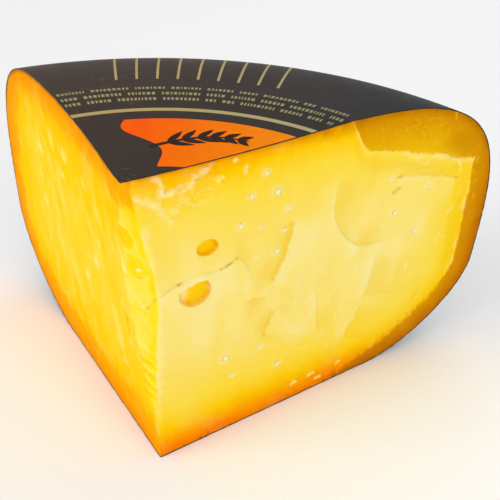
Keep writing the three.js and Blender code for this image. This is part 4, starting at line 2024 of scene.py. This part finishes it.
@dataclass(frozen=True)
class Lamp:
    """A square soft light that looks at the wedge, in metres and watts."""

    name: str
    place: tuple[float, float, float]
    size: float
    power: float
    colour: str = "#ffffff"

    def build(self, target: tuple[float, float, float]) -> None:
        """Makes the light."""
        data = bpy.data.lights.new(self.name, "AREA")
        data.size = self.size
        data.energy = self.power
        data.color = linear(self.colour)[:3]
        obj = placed(self.name, data)
        back = np.array(self.place) - np.array(target)
        obj.matrix_world = facing(self.place, back / np.linalg.norm(back), 0.0)


def facing(place: Sequence[float], back: Array, roll_degrees: float) -> Matrix:
    """The matrix of a camera or light at a place that looks along minus `back`, rolled a little."""
    right = np.cross([0.0, 0.0, 1.0], back)
    right /= np.linalg.norm(right)
    up = np.cross(back, right)
    roll = math.radians(roll_degrees)
    rolled_right = right * math.cos(roll) + up * math.sin(roll)
    rolled_up = up * math.cos(roll) - right * math.sin(roll)
    matrix = np.eye(4)
    matrix[:3, 0], matrix[:3, 1], matrix[:3, 2], matrix[:3, 3] = rolled_right, rolled_up, back, place
    return Matrix(matrix.tolist())


@dataclass(frozen=True)
class Studio:
    """A pale floor, soft lights and the camera, whose place is counted from the foot of the wheel's axis."""

    axis: tuple[float, float]
    floor_half: float = 3.0
    camera_mm: tuple[float, float, float] = (68.47, -196.85, 250.49)
    azimuth_degrees: float = 12.388
    elevation_degrees: float = 32.954
    roll_degrees: float = 2.607
    lens: float = 62.29
    world_strength: float = 0.58
    lamps: tuple[Lamp, ...] = (
        Lamp("key", (-0.95, -0.75, 0.75), 0.9, 6.9),
        Lamp("fill", (0.85, -0.85, 0.6), 1.0, 5.5),
        Lamp("back", (0.15, 0.9, 1.0), 0.9, 3.0),
    )

    def build(self) -> None:
        """Makes the floor, the world, the lights and the camera."""
        half = self.floor_half
        corners = [(-half, -half, 0.0), (half, -half, 0.0), (half, half, 0.0), (-half, half, 0.0)]
        mesh = bpy.data.meshes.new("floor")
        mesh.from_pydata(corners, [], [(0, 1, 2, 3)])
        floor = placed("floor", mesh)
        dress_with(floor, PaleFloor())
        world = bpy.data.worlds.new("studio")
        world.use_nodes = True
        sky = world.node_tree.nodes["Background"]
        sky.inputs["Color"].default_value = (1.0, 1.0, 1.0, 1.0)
        sky.inputs["Strength"].default_value = self.world_strength
        bpy.context.scene.world = world
        for lamp in self.lamps:
            lamp.build((0.0, 0.0, 0.05))
        self.camera()
        bpy.context.scene.view_settings.view_transform = "Standard"

    def camera(self) -> None:
        """Makes the camera: a 36 mm sensor at the wedge's front, a little above it."""
        azimuth, elevation = math.radians(self.azimuth_degrees), math.radians(self.elevation_degrees)
        flat = math.cos(elevation)
        back = np.array([math.sin(azimuth) * flat, -math.cos(azimuth) * flat, math.sin(elevation)])
        data = bpy.data.cameras.new("camera")
        data.lens = self.lens
        data.sensor_width = 36.0
        data.clip_start = 0.01
        camera = placed("camera", data)
        place = np.array(self.camera_mm) + np.array([*self.axis, 0.0])
        camera.matrix_world = facing(place * MM, back, self.roll_degrees)
        bpy.context.scene.camera = camera


# ---------------------------------------------------------------- everything together


def main() -> None:
    """Builds the wedge, dresses each piece and sets up the studio."""
    logging.basicConfig(level=logging.INFO, format="%(name)s: %(message)s")
    wedge = Wedge()
    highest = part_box(NODE)[1]
    axis = np.array([AXIS_X, highest[1] / MM - wedge.wheel.radius])
    maker = Maker(axis)
    paste, surfaces = PasteBody(wedge).build(maker)
    dress_with(paste, AgedPaste())
    dress_with(RindCoat(wedge).build(maker), PlasticCoat())
    prints = Label(wedge).build(maker)
    gold = Ink("gold ink", "#b4a068", "#a8a282")
    for name in ("ring", "marks"):
        dress_with(prints[name], gold)
    dress_with(prints["bars"], Ink("dull gold ink", "#9c9468", "#928e68"))
    dress_with(prints["field"], Ink("orange ink", "#fb5c00", "#f29000", 30.0, 10.0))
    dress_with(prints["sprig"], Ink("black ink", "#352720", "#2a2422"))
    crystals = Grains("crystals", "cheese_crystals", tuple(crystal_places()), 0.3, 3)
    dress_with(crystals.build(maker, wedge, surfaces), Crystal())
    Studio((axis[0], axis[1])).build()


if __name__ == "__main__":
    main()
